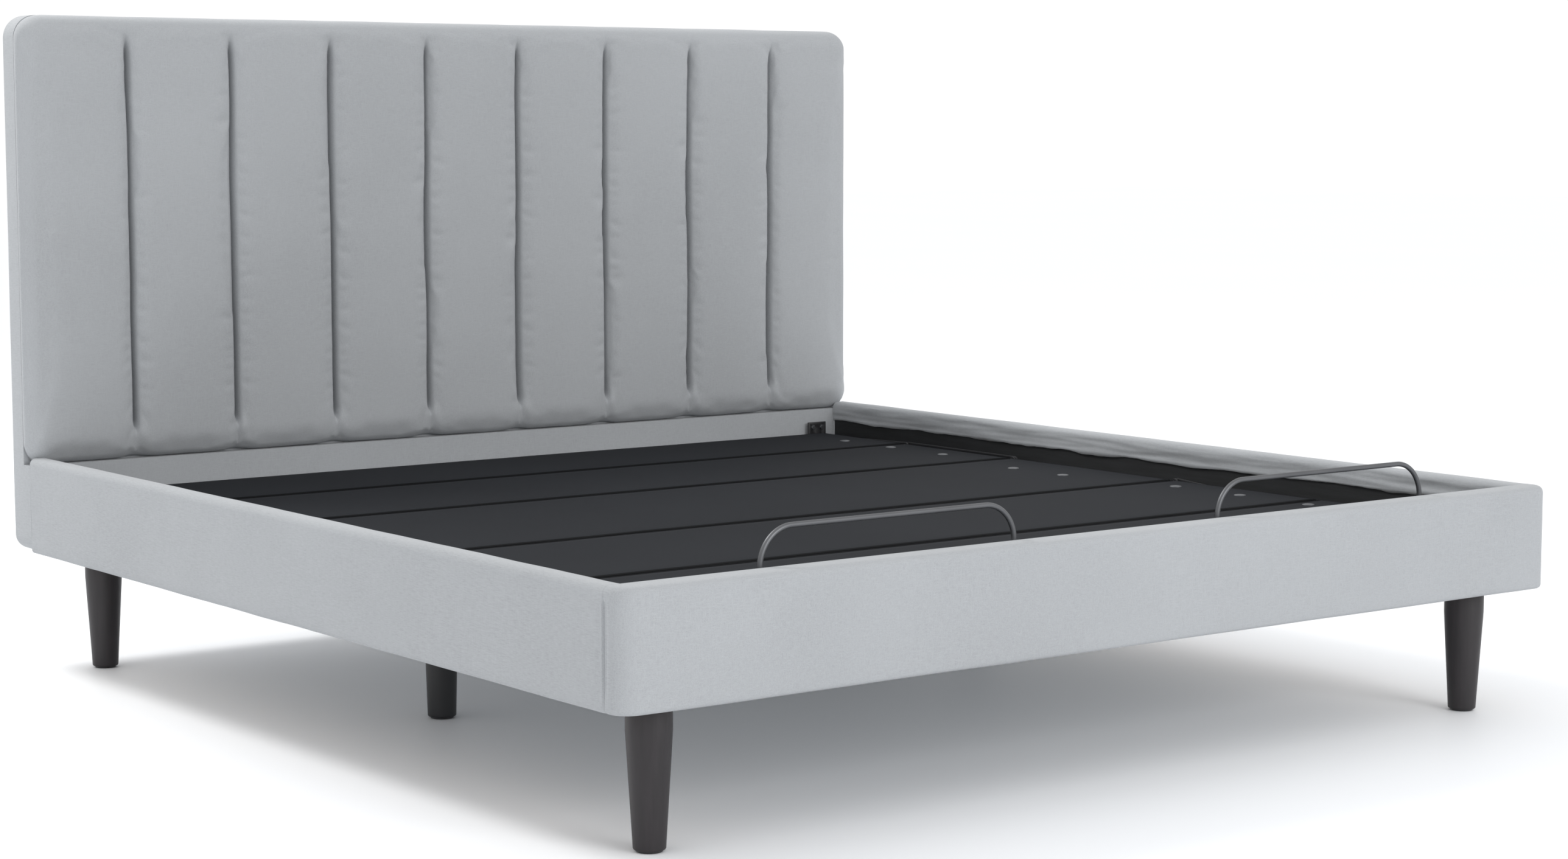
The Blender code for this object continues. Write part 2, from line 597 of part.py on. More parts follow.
def make_back():
    hinge = pivot("back_lift_axis", 0, BACK_SEAM, HINGE_Z)
    deck_panel("back_panel", BACK_SEAM + SEAM_HALF_GAP, PILLOW_SEAM - SEAM_HALF_GAP, hinge)
    for side, sign in (("left", -1), ("right", 1)):
        side_arm(f"back_arm_{side}", sign, OUTER_LAYER, (BACK_SEAM, HINGE_Z), (PILLOW_SEAM, HINGE_Z), hinge)
    bar_y = BACK_SEAM + BAR_OFFSET
    bar = cross_bar("back_cross_bar", bar_y, hinge)
    depth = HINGE_Z - PUSH_Z
    join(bar, prism_mesh(lever_outline(BACK_SEAM, HINGE_Z, depth, BACK_TRAVEL, 1, bar_y, 0.0175, *HEAD_SLOT[:2]),
                         HEAD_DRIVE_X - 0.005, HEAD_DRIVE_X + 0.005))
    cut(bar, prism_mesh(slot_outline(BACK_SEAM, HINGE_Z, BACK_TRAVEL, 1, *HEAD_SLOT),
                        HEAD_DRIVE_X - 0.02, HEAD_DRIVE_X + 0.02))
    rear_fork(bar, 0, bar_y, PILLOW_PUSH_Z, BAR_BOTTOM + 0.004, FORK_GAP, DRIVE_PIN)
    hinge_rod("hinge_rod_pillow", PILLOW_SEAM, HINGE_Z, hinge)
    pin_y = BACK_SEAM - drive_travel(depth, BACK_TRAVEL)
    bore = actuator("head_actuator", HEAD_DRIVE_X, HEAD_REAR_Y, PUSH_Z, 1, pin_y - 0.050, DRIVE_SIZE,
                    DRIVE_ROD, REAR_PIN, DRIVE_MOTOR)
    slide = pivot("head_rod_slide", HEAD_DRIVE_X, pin_y, PUSH_Z)
    push_rod("head_actuator_rod", HEAD_DRIVE_X, PUSH_Z, 1, bore + 0.004, pin_y, DRIVE_ROD, DRIVE_PIN,
             DRIVE_REACH, DRIVE_CHEEK_GAP, slide)
    return hinge


def make_pillow(back_hinge):
    hinge = pivot("pillow_tilt_axis", 0, PILLOW_SEAM, HINGE_Z)
    deck_panel("pillow_panel", PILLOW_SEAM + SEAM_HALF_GAP, DECK_HEAD, hinge)
    for side, sign in (("left", -1), ("right", 1)):
        side_arm(f"pillow_arm_{side}", sign, INNER_LAYER, (PILLOW_SEAM, HINGE_Z), DECK_HEAD - 0.03, hinge)
    depth = HINGE_Z - PILLOW_PUSH_Z
    bar_y = PILLOW_SEAM + 0.040
    lever = place("pillow_lever", box_mesh((-0.030, bar_y - 0.020, FLANGE_TOP - 0.005),
                                           (0.030, bar_y + 0.045, FLANGE_TOP)), BLACK_STEEL, hinge)
    join(lever, prism_mesh(lever_outline(PILLOW_SEAM, HINGE_Z, depth, PILLOW_TRAVEL, 1, bar_y, 0.012,
                                         *PILLOW_SLOT[:2]), -0.004, 0.004))
    cut(lever, prism_mesh(slot_outline(PILLOW_SEAM, HINGE_Z, PILLOW_TRAVEL, 1, *PILLOW_SLOT), -0.02, 0.02))
    pin_y = PILLOW_SEAM - drive_travel(depth, PILLOW_TRAVEL)
    bore = actuator("pillow_actuator", 0, BACK_SEAM + BAR_OFFSET, PILLOW_PUSH_Z, 1, pin_y - 0.042, 0.034, 0.007,
                    0.005, 0.016, back_hinge)
    slide = pivot("pillow_rod_slide", 0, pin_y, PILLOW_PUSH_Z)
    push_rod("pillow_actuator_rod", 0, PILLOW_PUSH_Z, 1, bore + 0.004, pin_y, 0.007, 0.004, 0.026, 0.0055,
             slide)


def make_thigh():
    hinge = pivot("thigh_lift_axis", 0, THIGH_SEAM, HINGE_Z)
    deck_panel("thigh_panel", KNEE_SEAM + SEAM_HALF_GAP, THIGH_SEAM - SEAM_HALF_GAP, hinge)
    for side, sign in (("left", -1), ("right", 1)):
        side_arm(f"thigh_arm_{side}", sign, OUTER_LAYER, (KNEE_SEAM, KNEE_Z), (THIGH_SEAM, HINGE_Z), hinge)
    bar_y = THIGH_SEAM - BAR_OFFSET
    bar = cross_bar("thigh_cross_bar", bar_y, hinge)
    depth = HINGE_Z - PUSH_Z
    join(bar, prism_mesh(lever_outline(THIGH_SEAM, HINGE_Z, depth, THIGH_TRAVEL, -1, bar_y, 0.015,
                                       *FOOT_SLOT[:2]), FOOT_DRIVE_X - 0.005, FOOT_DRIVE_X + 0.005))
    cut(bar, prism_mesh(slot_outline(THIGH_SEAM, HINGE_Z, THIGH_TRAVEL, -1, *FOOT_SLOT),
                        FOOT_DRIVE_X - 0.02, FOOT_DRIVE_X + 0.02))
    hinge_rod("hinge_rod_knee", KNEE_SEAM, KNEE_Z, hinge)
    pin_y = THIGH_SEAM + drive_travel(depth, THIGH_TRAVEL)
    bore = actuator("foot_actuator", FOOT_DRIVE_X, FOOT_REAR_Y, PUSH_Z, -1, pin_y + 0.050, DRIVE_SIZE,
                    DRIVE_ROD, REAR_PIN, DRIVE_MOTOR)
    slide = pivot("foot_rod_slide", FOOT_DRIVE_X, pin_y, PUSH_Z)
    push_rod("foot_actuator_rod", FOOT_DRIVE_X, PUSH_Z, -1, bore - 0.004, pin_y, DRIVE_ROD, DRIVE_PIN,
             DRIVE_REACH, DRIVE_CHEEK_GAP, slide)


def retainer_path(centre):
    """Route of a mattress retainer: a tail under the panel, up, across with round corners, and back."""
    tail_z = DECK_BOTTOM - RETAINER_ROD - 0.001
    side = centre - RETAINER_HALF_WIDTH
    left = [(side, RETAINER_Y + RETAINER_TAIL, tail_z)]
    left += [(side, RETAINER_Y + RETAINER_BEND * (1 - math.sin(t)), tail_z + RETAINER_BEND * (1 - math.cos(t)))
             for t in (math.radians(90 * k / 4) for k in range(5))]
    shoulder = side + RETAINER_CORNER
    left += [(shoulder - RETAINER_CORNER * math.cos(t), RETAINER_Y,
              RETAINER_TOP - RETAINER_CORNER * (1 - math.sin(t)))
             for t in (math.radians(90 * k / 8) for k in range(9))]
    right = [(2 * centre - x, y, z) for x, y, z in reversed(left)]
    return left + right


def retainer_bar(name, centre, parent):
    curve = bpy.data.curves.new(name, "CURVE")
    curve.dimensions = "3D"
    curve.bevel_depth = RETAINER_ROD
    curve.bevel_resolution = 2
    curve.use_fill_caps = True
    points = retainer_path(centre)
    spline = curve.splines.new("POLY")
    spline.points.add(len(points) - 1)
    for slot, point in zip(spline.points, points):
        slot.co = (*point, 1.0)
    curve.materials.append(GREY_STEEL)
    bar = bpy.data.objects.new(name, curve)
    SCENE.objects.link(bar)
    bar.parent = parent
    bar.matrix_parent_inverse = Matrix.Translation(parent.location).inverted()


def make_foot():
    hinge = pivot("knee_fold_axis", 0, KNEE_SEAM, KNEE_Z)
    deck_panel("foot_panel", DECK_FOOT, KNEE_SEAM - SEAM_HALF_GAP, hinge)
    link = pivot("link_axis", 0, *LINK_BASE)
    for side, sign in (("left", -1), ("right", 1)):
        arm = side_arm(f"foot_arm_{side}", sign, INNER_LAYER, DECK_FOOT + 0.02, (KNEE_SEAM, KNEE_Z), hinge)
        ear_x = (sign * (FLANGE_INNER - 0.005), sign * (FLANGE_INNER + 0.0005))
        y, z = LINK_KNEE
        ear = [(y - 0.013, FLANGE_TOP - 0.0002), *arc(y, z, 0.012, 180, 360, 8), (y + 0.013, FLANGE_TOP - 0.0002)]
        join(arm, prism_mesh(ear, min(ear_x), max(ear_x)))
        cut(arm, rod_mesh((sign * 0.88, y, z), (sign * 0.90, y, z), LINK_PIN + FIT, 12))
        xs = (sign * LINK_INNER, sign * (LINK_INNER + LINK_THICK))
        bar = place(f"calf_link_{side}", prism_mesh(capsule(*LINK_KNEE, *LINK_BASE, 0.012), min(xs), max(xs)),
                    BLACK_STEEL, link)
        join(bar, rod_mesh((sign * (LINK_INNER + 0.002), y, z), (sign * (FLANGE_INNER + 0.002), y, z),
                           LINK_PIN, 12))
        cut(bar, rod_mesh((sign * 0.87, *LINK_BASE), (sign * 0.90, *LINK_BASE), LINK_PIN + FIT, 12))
        retainer_bar(f"retainer_bar_{side}", sign * RETAINER_X, hinge)


make_headboard()
for rail_side, rail_sign in (("left", -1), ("right", 1)):
    make_side_rail(rail_side, rail_sign)
make_foot_rail()
make_supports()
make_base()
back_axis = make_back()
make_pillow(back_axis)
make_thigh()
make_foot()
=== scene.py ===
import json
import math

import bmesh
import bpy
from mathutils import Matrix, Vector, noise
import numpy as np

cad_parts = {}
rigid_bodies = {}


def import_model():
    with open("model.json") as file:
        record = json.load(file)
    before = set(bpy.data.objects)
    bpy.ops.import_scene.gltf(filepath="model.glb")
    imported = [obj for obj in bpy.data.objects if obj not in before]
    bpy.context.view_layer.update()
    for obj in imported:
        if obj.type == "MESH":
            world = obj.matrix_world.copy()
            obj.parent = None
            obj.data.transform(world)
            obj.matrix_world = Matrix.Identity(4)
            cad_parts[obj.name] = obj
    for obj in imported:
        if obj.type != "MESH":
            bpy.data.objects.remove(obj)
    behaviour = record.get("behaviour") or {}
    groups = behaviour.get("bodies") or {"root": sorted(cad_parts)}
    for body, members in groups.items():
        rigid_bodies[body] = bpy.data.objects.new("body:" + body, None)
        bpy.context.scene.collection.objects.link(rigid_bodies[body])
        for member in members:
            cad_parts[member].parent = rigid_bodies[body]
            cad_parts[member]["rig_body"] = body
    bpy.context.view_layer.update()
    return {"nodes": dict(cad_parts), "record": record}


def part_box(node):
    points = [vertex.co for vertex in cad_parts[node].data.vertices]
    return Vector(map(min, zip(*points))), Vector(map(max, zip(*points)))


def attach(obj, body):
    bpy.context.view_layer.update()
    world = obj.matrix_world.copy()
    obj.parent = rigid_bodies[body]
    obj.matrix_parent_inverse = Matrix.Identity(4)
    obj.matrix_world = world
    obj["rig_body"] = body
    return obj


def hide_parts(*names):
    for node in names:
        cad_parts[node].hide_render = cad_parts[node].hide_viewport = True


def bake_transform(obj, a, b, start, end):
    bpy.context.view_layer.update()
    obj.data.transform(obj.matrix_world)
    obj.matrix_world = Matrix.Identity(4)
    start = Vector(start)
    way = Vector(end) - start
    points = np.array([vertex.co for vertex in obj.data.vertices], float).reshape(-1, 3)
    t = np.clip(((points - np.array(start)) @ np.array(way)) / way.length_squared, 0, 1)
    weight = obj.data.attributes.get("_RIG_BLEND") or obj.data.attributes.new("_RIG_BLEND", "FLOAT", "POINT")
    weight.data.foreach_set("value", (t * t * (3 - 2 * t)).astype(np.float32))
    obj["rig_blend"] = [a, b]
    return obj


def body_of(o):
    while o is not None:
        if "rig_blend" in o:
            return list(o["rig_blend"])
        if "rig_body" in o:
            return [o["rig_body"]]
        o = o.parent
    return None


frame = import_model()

NODES = frame["nodes"]
COLLECTION = bpy.context.scene.collection

# ---- camera, floor and light -----------------------------------------------------------------
CAMERA_PLACE = (-3.389, -4.626, 1.079)
CAMERA_PITCH = 0.1023
CAMERA_YAW = 0.6443
CAMERA_LENS = 69.86
FLOOR_SIZE = 60.0
WORLD_STRENGTH = 1.06
WHITE = (1.0, 1.0, 1.0)
# name, place, aim, width and height, watts, colour; under_fill lifts the shadow under the bed
LIGHTS = (
    ("key", (-1.8, 3.0, 4.3), (0.0, -0.2, 0.2), (1.4, 1.4), 122.0, (1.0, 0.995, 0.98)),
    ("front", (1.0, -8.5, 3.4), (0.0, 0.9, 0.7), (4.0, 3.0), 212.0, WHITE),
    ("under_fill", (0.0, 0.0, 0.215), (0.0, 0.0, 0.0), (1.8, 2.0), 2.0, (0.90, 0.95, 1.0)),
)


def make_camera():
    data = bpy.data.cameras.new("camera")
    data.lens = CAMERA_LENS
    data.sensor_width = 36.0
    data.clip_end = 200.0
    camera = bpy.data.objects.new("camera", data)
    camera.location = CAMERA_PLACE
    camera.rotation_euler = (math.pi / 2 - CAMERA_PITCH, 0.0, -CAMERA_YAW)
    COLLECTION.objects.link(camera)
    bpy.context.scene.camera = camera


def area_light(name, place, aim, size, power, colour):
    data = bpy.data.lights.new(name, "AREA")
    data.shape = "RECTANGLE"
    data.size, data.size_y = size
    data.energy = power
    data.color = colour
    light = bpy.data.objects.new(name, data)
    light.location = place
    light.visible_camera = False
    light.rotation_euler = (Vector(aim) - Vector(place)).to_track_quat("-Z", "Y").to_euler()
    COLLECTION.objects.link(light)


def make_stage():
    world = bpy.data.worlds.new("studio")
    world.use_nodes = True
    background = world.node_tree.nodes["Background"]
    background.inputs["Color"].default_value = (*WHITE, 1.0)
    background.inputs["Strength"].default_value = WORLD_STRENGTH
    bpy.context.scene.world = world
    bpy.context.scene.view_settings.view_transform = "Standard"
    for light in LIGHTS:
        area_light(*light)
    bm = bmesh.new()
    bmesh.ops.create_grid(bm, x_segments=1, y_segments=1, size=FLOOR_SIZE / 2)
    mesh = bpy.data.meshes.new("floor")
    bm.to_mesh(mesh)
    bm.free()
    floor = bpy.data.objects.new("floor", mesh)
    COLLECTION.objects.link(floor)
    mesh.materials.append(plain_floor())


# ---- material helpers --------------------------------------------------------------------------
class Nodes:
    """A material's node tree, with short ways to add and join nodes."""

    def __init__(self, name):
        self.material = bpy.data.materials.new(name)
        self.material.use_nodes = True
        self.tree = self.material.node_tree
        self.shader = self.tree.nodes["Principled BSDF"]

    def add(self, kind, **values):
        node = self.tree.nodes.new(kind)
        for key, value in values.items():
            if hasattr(node, key):
                setattr(node, key, value)
            else:
                node.inputs[key.replace("_", " ")].default_value = value
        return node

    def link(self, source, target):
        self.tree.links.new(source, target)

    def place(self, scale=(1.0, 1.0, 1.0)):
        """Object coordinates, in metres, stretched by scale."""
        coordinates = self.add("ShaderNodeTexCoord")
        mapping = self.add("ShaderNodeMapping")
        mapping.inputs["Scale"].default_value = scale
        self.link(coordinates.outputs["Object"], mapping.inputs["Vector"])
        return mapping.outputs["Vector"]

    def noise(self, scale, detail=2.0, stretch=(1.0, 1.0, 1.0)):
        texture = self.add("ShaderNodeTexNoise", Scale=scale, Detail=detail)
        self.link(self.place(stretch), texture.inputs["Vector"])
        return texture.outputs["Fac"]

    def math(self, operation, a, b=0.5):
        node = self.add("ShaderNodeMath", operation=operation)
        for slot, value in zip(node.inputs, (a, b)):
            if isinstance(value, (int, float)):
                slot.default_value = value
            else:
                self.link(value, slot)
        return node.outputs[0]

    def ramp(self, factor, stops):
        node = self.add("ShaderNodeValToRGB")
        elements = node.color_ramp.elements
        while len(elements) < len(stops):
            elements.new(0.5)
        for element, (place, colour) in zip(elements, stops):
            element.position = place
            element.color = (*colour, 1.0)
        self.link(factor, node.inputs["Fac"])
        return node.outputs["Color"]

    def bump(self, height, strength, distance, before=None):
        node = self.add("ShaderNodeBump", Strength=strength, Distance=distance)
        self.link(height, node.inputs["Height"])
        if before:
            self.link(before, node.inputs["Normal"])
        self.link(node.outputs["Normal"], self.shader.inputs["Normal"])
        return node.outputs["Normal"]

    def set(self, **values):
        for key, value in values.items():
            self.shader.inputs[key.replace("_", " ")].default_value = value


def shade(colour, factor):
    return tuple(min(1.0, channel * factor) for channel in colour)


def woven(name, colour, spread, sheen, thread=0.0011, relief=0.00025, gloss=0.25):
    """Upholstery cloth: crossed threads with slubs, soft mottling and a little nap."""
    n = Nodes(name)
    pitch = 1.0 / thread
    warp = n.noise(1.0, 1.0, (pitch, pitch, pitch * 0.09))
    weft = n.noise(1.0, 1.0, (pitch * 0.09, pitch, pitch))
    cross = n.noise(1.0, 1.0, (pitch, pitch * 0.09, pitch))
    threads = n.math("ADD", n.math("MAXIMUM", warp, weft), cross)
    threads = n.math("MULTIPLY", threads, 0.5)
    patches = n.noise(2.2, 3.0)
    mixed = n.math("ADD", n.math("MULTIPLY", threads, 0.72), n.math("MULTIPLY", patches, 0.28))
    colours = n.ramp(mixed, [(0.36, shade(colour, 1.0 - spread)), (0.50, colour),
                             (0.66, shade(colour, 1.0 + spread * 0.8))])
    n.link(colours, n.shader.inputs["Base Color"])
    rough = n.math("ADD", n.math("MULTIPLY", threads, 0.16), 0.80)
    n.link(rough, n.shader.inputs["Roughness"])
    soft = n.bump(patches, 0.25, 0.0015)
    n.bump(threads, 0.55, relief, soft)
    n.set(Sheen_Weight=sheen, Sheen_Roughness=0.45)
    n.shader.inputs["Specular IOR Level"].default_value = gloss
    return n.material


GRAIN_UPRIGHT = (14.0, 14.0, 1.2)
GRAIN_ALONG = (14.0, 1.2, 14.0)
GRAIN_ACROSS = (1.2, 14.0, 14.0)


def wood(name, dark, light, rough, coat, stretch=GRAIN_UPRIGHT):
    """Straight-grained timber with fine pores; the grain runs along the least stretched axis."""
    n = Nodes(name)
    grain = n.noise(9.0, 6.0, stretch)
    pores = n.noise(60.0, 3.0, stretch)
    mixed = n.math("ADD", n.math("MULTIPLY", grain, 0.7), n.math("MULTIPLY", pores, 0.3))
    n.link(n.ramp(mixed, [(0.38, dark), (0.62, light)]), n.shader.inputs["Base Color"])
    n.link(n.math("ADD", n.math("MULTIPLY", pores, 0.25), rough), n.shader.inputs["Roughness"])
    n.bump(mixed, 0.25, 0.0003)
    n.set(Coat_Weight=coat, Coat_Roughness=0.25)
    return n.material


def coated(name, colour, rough, metallic=0.0, grit=900.0, relief=0.00008, wear=0.12):
    """Powder coat or moulded plastic: a fine orange peel and faint rubbed patches."""
    n = Nodes(name)
    peel = n.noise(grit, 2.0)
    rubbed = n.noise(7.0, 4.0)
    n.link(n.ramp(rubbed, [(0.35, shade(colour, 1.0 - wear)), (0.7, shade(colour, 1.0 + wear))]),
           n.shader.inputs["Base Color"])
    n.link(n.math("ADD", n.math("MULTIPLY", rubbed, 0.2), rough - 0.1), n.shader.inputs["Roughness"])
    n.bump(peel, 0.4, relief)
    n.set(Metallic=metallic)
    return n.material


def metal(name, colour, rough, stretch):
    """Bare or plated steel with fine drawing lines."""
    n = Nodes(name)
    lines = n.noise(500.0, 2.0, stretch)
    smudge = n.noise(12.0, 3.0)
    n.link(n.ramp(smudge, [(0.3, shade(colour, 0.88)), (0.7, shade(colour, 1.06))]),
           n.shader.inputs["Base Color"])
    n.link(n.math("ADD", n.math("MULTIPLY", lines, 0.18), rough - 0.06), n.shader.inputs["Roughness"])
    n.bump(lines, 0.15, 0.00004)
    n.set(Metallic=1.0)
    return n.material


def plain_floor():
    n = Nodes("studio_floor")
    n.link(n.ramp(n.noise(0.6, 2.0), [(0.3, (0.925, 0.94, 0.965)), (0.7, (0.935, 0.95, 0.97))]),
           n.shader.inputs["Base Color"])
    n.set(Roughness=0.6)
    return n.material


LIGHT_CLOTH = woven("pale_grey_weave", (0.351, 0.364, 0.379), 0.14, 0.10)
DECK_CLOTH = woven("charcoal_weave", (0.0118, 0.0132, 0.0162), 0.30, 0.0, 0.0013, gloss=0.14)
# near-black cloth for the deck seams: painted shade, standing in for the shadow in the gaps between the
# panels
SEAM_SHADE_CLOTH = woven("black_seam_painted_shade", (0.0026, 0.0029, 0.0036), 0.3, 0.0, gloss=0.10)
LEG_WOOD = wood("espresso_wood", (0.0086, 0.0062, 0.0078), (0.0140, 0.0102, 0.0126), 0.42, 0.12)
PINE = wood("planed_pine", (0.42, 0.27, 0.14), (0.62, 0.45, 0.27), 0.55, 0.0, GRAIN_ALONG)
PINE_ACROSS = wood("planed_pine_across", (0.40, 0.26, 0.14), (0.60, 0.43, 0.26), 0.55, 0.0, GRAIN_ACROSS)
BOARD = wood("black_stained_board", (0.0048, 0.0054, 0.0062), (0.0100, 0.0110, 0.0125), 0.6, 0.0,
             GRAIN_ALONG)
POWDER = coated("black_powder_coat", (0.0125, 0.0125, 0.0140), 0.45)
PLASTIC = coated("black_moulded_plastic", (0.0125, 0.0130, 0.0150), 0.46, 0.0, 1400.0)
GREY_ROD = metal("satin_steel_rod", (0.135, 0.138, 0.145), 0.42, (1.0, 1.0, 1.0))
CHROME = metal("polished_rod", (0.72, 0.72, 0.74), 0.16, (1.0, 0.02, 1.0))
ZINC = metal("zinc_bolts", (0.125, 0.130, 0.138), 0.42, (1.0, 1.0, 1.0))


# ---- mesh helpers ----------------------------------------------------------------------------------
def finish_piece(name, bm, material, body="bed", replaces=(), sharp=40.0):
    bmesh.ops.recalc_face_normals(bm, faces=bm.faces)
    mesh = bpy.data.meshes.new(name)
    bm.to_mesh(mesh)
    bm.free()
    mesh.shade_smooth()
    mesh.set_sharp_from_angle(angle=math.radians(sharp))
    mesh.materials.append(material)
    piece = bpy.data.objects.new(name, mesh)
    COLLECTION.objects.link(piece)
    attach(piece, body)
    if replaces:
        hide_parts(*replaces)
    return piece


def block(low, high):
    bm = bmesh.new()
    bmesh.ops.create_cube(bm, size=1.0)
    bmesh.ops.scale(bm, verts=bm.verts, vec=[b - a for a, b in zip(low, high)])
    bmesh.ops.translate(bm, verts=bm.verts, vec=[(a + b) / 2 for a, b in zip(low, high)])
    return bm


def round_edges(bm, chosen, radius, segments):
    edges = [e for e in bm.edges if chosen(e.verts[0].co, e.verts[1].co)]
    bmesh.ops.bevel(bm, geom=edges, offset=radius, segments=segments, profile=0.5, affect="EDGES")


def slice_up(bm, axis, low, high, step):
    """Cut a mesh across an axis every step, so that it can bend and ripple."""
    count = max(1, round((high - low) / step))
    for k in range(1, count):
        cut_across(bm, axis, low + (high - low) * k / count)


def cut_across(bm, axis, place):
    """Cut a mesh at one place along an axis."""
    normal = [float(k == axis) for k in range(3)]
    bmesh.ops.bisect_plane(bm, geom=bm.verts[:] + bm.edges[:] + bm.faces[:],
                           plane_co=[place * v for v in normal], plane_no=normal, dist=1e-6)


def wander(point, scale, seed):
    """Smooth noise from about -1 to 1."""
    return noise.noise(Vector(point) * scale + Vector((seed, seed * 1.7, seed * 0.3)))


def ripple(bm, amount, scale, seed, hold=None):
    """Move a mesh's points along their normals, as cloth over wadding lies."""
    bm.normal_update()
    moves = []
    for vert in bm.verts:
        size = amount * (0.7 * wander(vert.co, scale, seed) + 0.3 * wander(vert.co, scale * 3.1, seed + 5))
        if hold:
            size *= hold(vert.co)
        moves.append(vert.normal * size)
    for vert, move in zip(bm.verts, moves):
        vert.co += move


def turned(profile, x, y, segments=64):
    """A closed turned shape from (radius, z) points, top to bottom."""
    bm = bmesh.new()
    rings = []
    for radius, z in profile:
        turns = [2 * math.pi * k / segments for k in range(segments)]
        rings.append([bm.verts.new((x + radius * math.cos(t), y + radius * math.sin(t), z)) for t in turns])
    for upper, lower in zip(rings, rings[1:]):
        for k in range(segments):
            n = (k + 1) % segments
            bm.faces.new((upper[k], upper[n], lower[n], lower[k]))
    bm.faces.new(rings[0])
    bm.faces.new(rings[-1])
    return bm


def plump(piece, pin_layer, pressure, frames, cap):
    """Let filled cloth settle under its own pressure between the places where it is sewn down."""
    mesh = piece.data
    weights = [value.value for value in mesh.attributes[pin_layer].data]
    mesh.attributes.remove(mesh.attributes[pin_layer])
    group = piece.vertex_groups.new(name=pin_layer)
    for index, weight in enumerate(weights):
        group.add([index], weight, "REPLACE")
    cloth = piece.modifiers.new("filling", "CLOTH")
    settings = cloth.settings
    settings.quality = 4
    settings.mass = 0.4
    settings.tension_stiffness = settings.compression_stiffness = 12.0
    settings.shear_stiffness = 6.0
    settings.bending_stiffness = 0.3
    settings.shrink_min = -0.012
    settings.use_pressure = True
    settings.uniform_pressure_force = pressure
    settings.vertex_group_mass = group.name
    settings.effector_weights.gravity = 0.0
    cloth.collision_settings.use_collision = False
    cloth.collision_settings.use_self_collision = False
    cloth.point_cache.frame_start, cloth.point_cache.frame_end = 1, frames
    scene = bpy.context.scene
    for frame_number in range(1, frames + 1):
        scene.frame_set(frame_number)
    settled = piece.evaluated_get(bpy.context.evaluated_depsgraph_get()).data
    moved = [vert.co.copy() for vert in settled.vertices]
    for vert, place, weight in zip(mesh.vertices, moved, weights):
        move = place - vert.co
        if move.length > cap:
            move *= cap / move.length
        vert.co += move * (1.0 - weight)
    piece.modifiers.remove(cloth)
    piece.vertex_groups.remove(group)
    scene.frame_set(1)


def smooth_step(a, b, value):
    t = min(1.0, max(0.0, (value - a) / (b - a)))
    return t * t * (3 - 2 * t)


# ---- headboard pad with sewn channels -----------------------------------------------------------------
PAD_LOW, PAD_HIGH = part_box("headboard_pad")
CHANNELS = 9
CHANNEL_WIDTH = (PAD_HIGH[0] - PAD_LOW[0]) / CHANNELS
SLITS = [PAD_LOW[0] + CHANNEL_WIDTH * (k + 1) for k in range(CHANNELS - 1)]
SLIT_TOP = 1.243
SLIT_BOTTOM = 0.455
SLIT_DEPTH = 0.0270
SLIT_HALF_WIDTH = 0.0046
PAD_ROLL = 0.026
PAD_CORNER = 0.045
PAD_SWELL = 0.0055
PAD_ROWS = 104
PAD_PRESSURE = 3.5
PAD_FRAMES = 14
PAD_MOST_MOVE = 0.0038
# distances from a seam at which the pad has a column of points
SEAM_COLUMNS = (0.0, 0.0012, 0.0025, 0.0042, 0.0068, 0.010, 0.0145, 0.021, 0.030, 0.042, 0.057, 0.074, 0.093)


def slit_shift(index, z):
    """How far a channel's seam strays from its straight line."""
    stray = 0.0028 * wander((index * 3.7, 0.0, z), 4.5, 11.0) + 0.001 * wander((index, 0.0, z), 14.0, 3.0)
    lean = 0.007 * (CHANNELS / 2 - index) / CHANNELS * math.exp(-(SLIT_TOP - z) / 0.07)
    return stray - lean


def nearest_slit(x):
    index = min(range(len(SLITS)), key=lambda k: abs(x - SLITS[k]))
    return index, x - SLITS[index]


def pad_height(x, z):
    """How far the front stands proud of (or is drawn in from) its plain surface."""
    index, off = nearest_slit(x)
    off -= slit_shift(index, z)
    reach = abs(off)
    low_end = SLIT_BOTTOM + 0.006 * wander((index, 0, 0), 2.3, 7.0)
    seam = smooth_step(low_end - 0.006, low_end + 0.022, z)
    seam *= smooth_step(SLIT_TOP + 0.006, SLIT_TOP - 0.05, z)
    pinch = smooth_step(low_end + 0.030, low_end - 0.012, z)
    under = smooth_step(PAD_LOW[2] + 0.055, PAD_LOW[2] + 0.008, z)
    crown = PAD_SWELL * (1.0 - math.exp(-((reach / 0.040) ** 1.15)))
    crown *= 0.35 + 0.65 * smooth_step(SLIT_TOP + 0.03, SLIT_TOP - 0.09, z)
    tuck = SLIT_DEPTH * seam * math.exp(-((reach / SLIT_HALF_WIDTH) ** 1.5))
    lips = 0.0016 * seam * math.exp(-(((reach - 0.010) / 0.006) ** 2))
    gather = 0.0022 * pinch * (1.0 - under) * math.exp(-((reach / 0.006) ** 2))
    gather += 0.0065 * under * math.exp(-((reach / 0.026) ** 2))
    gather -= 0.0060 * pinch * (1.0 - 0.9 * under) * math.exp(-(((off - 0.010) / 0.009) ** 2))
    gather += 0.0050 * under * (1.0 - math.exp(-((reach / 0.050) ** 2)))
    phase = off * 210.0 + 3.0 * wander((index, 0, z), 9.0, 2.0)
    pleats = 0.0011 * pinch * math.cos(phase) * math.exp(-reach / 0.055)
    slow = 0.0016 * wander((x, 0.0, z), 3.2, 21.0) + 0.0007 * wander((x, 0.0, z), 9.0, 4.0)
    return crown - tuck + lips - gather + pleats + slow


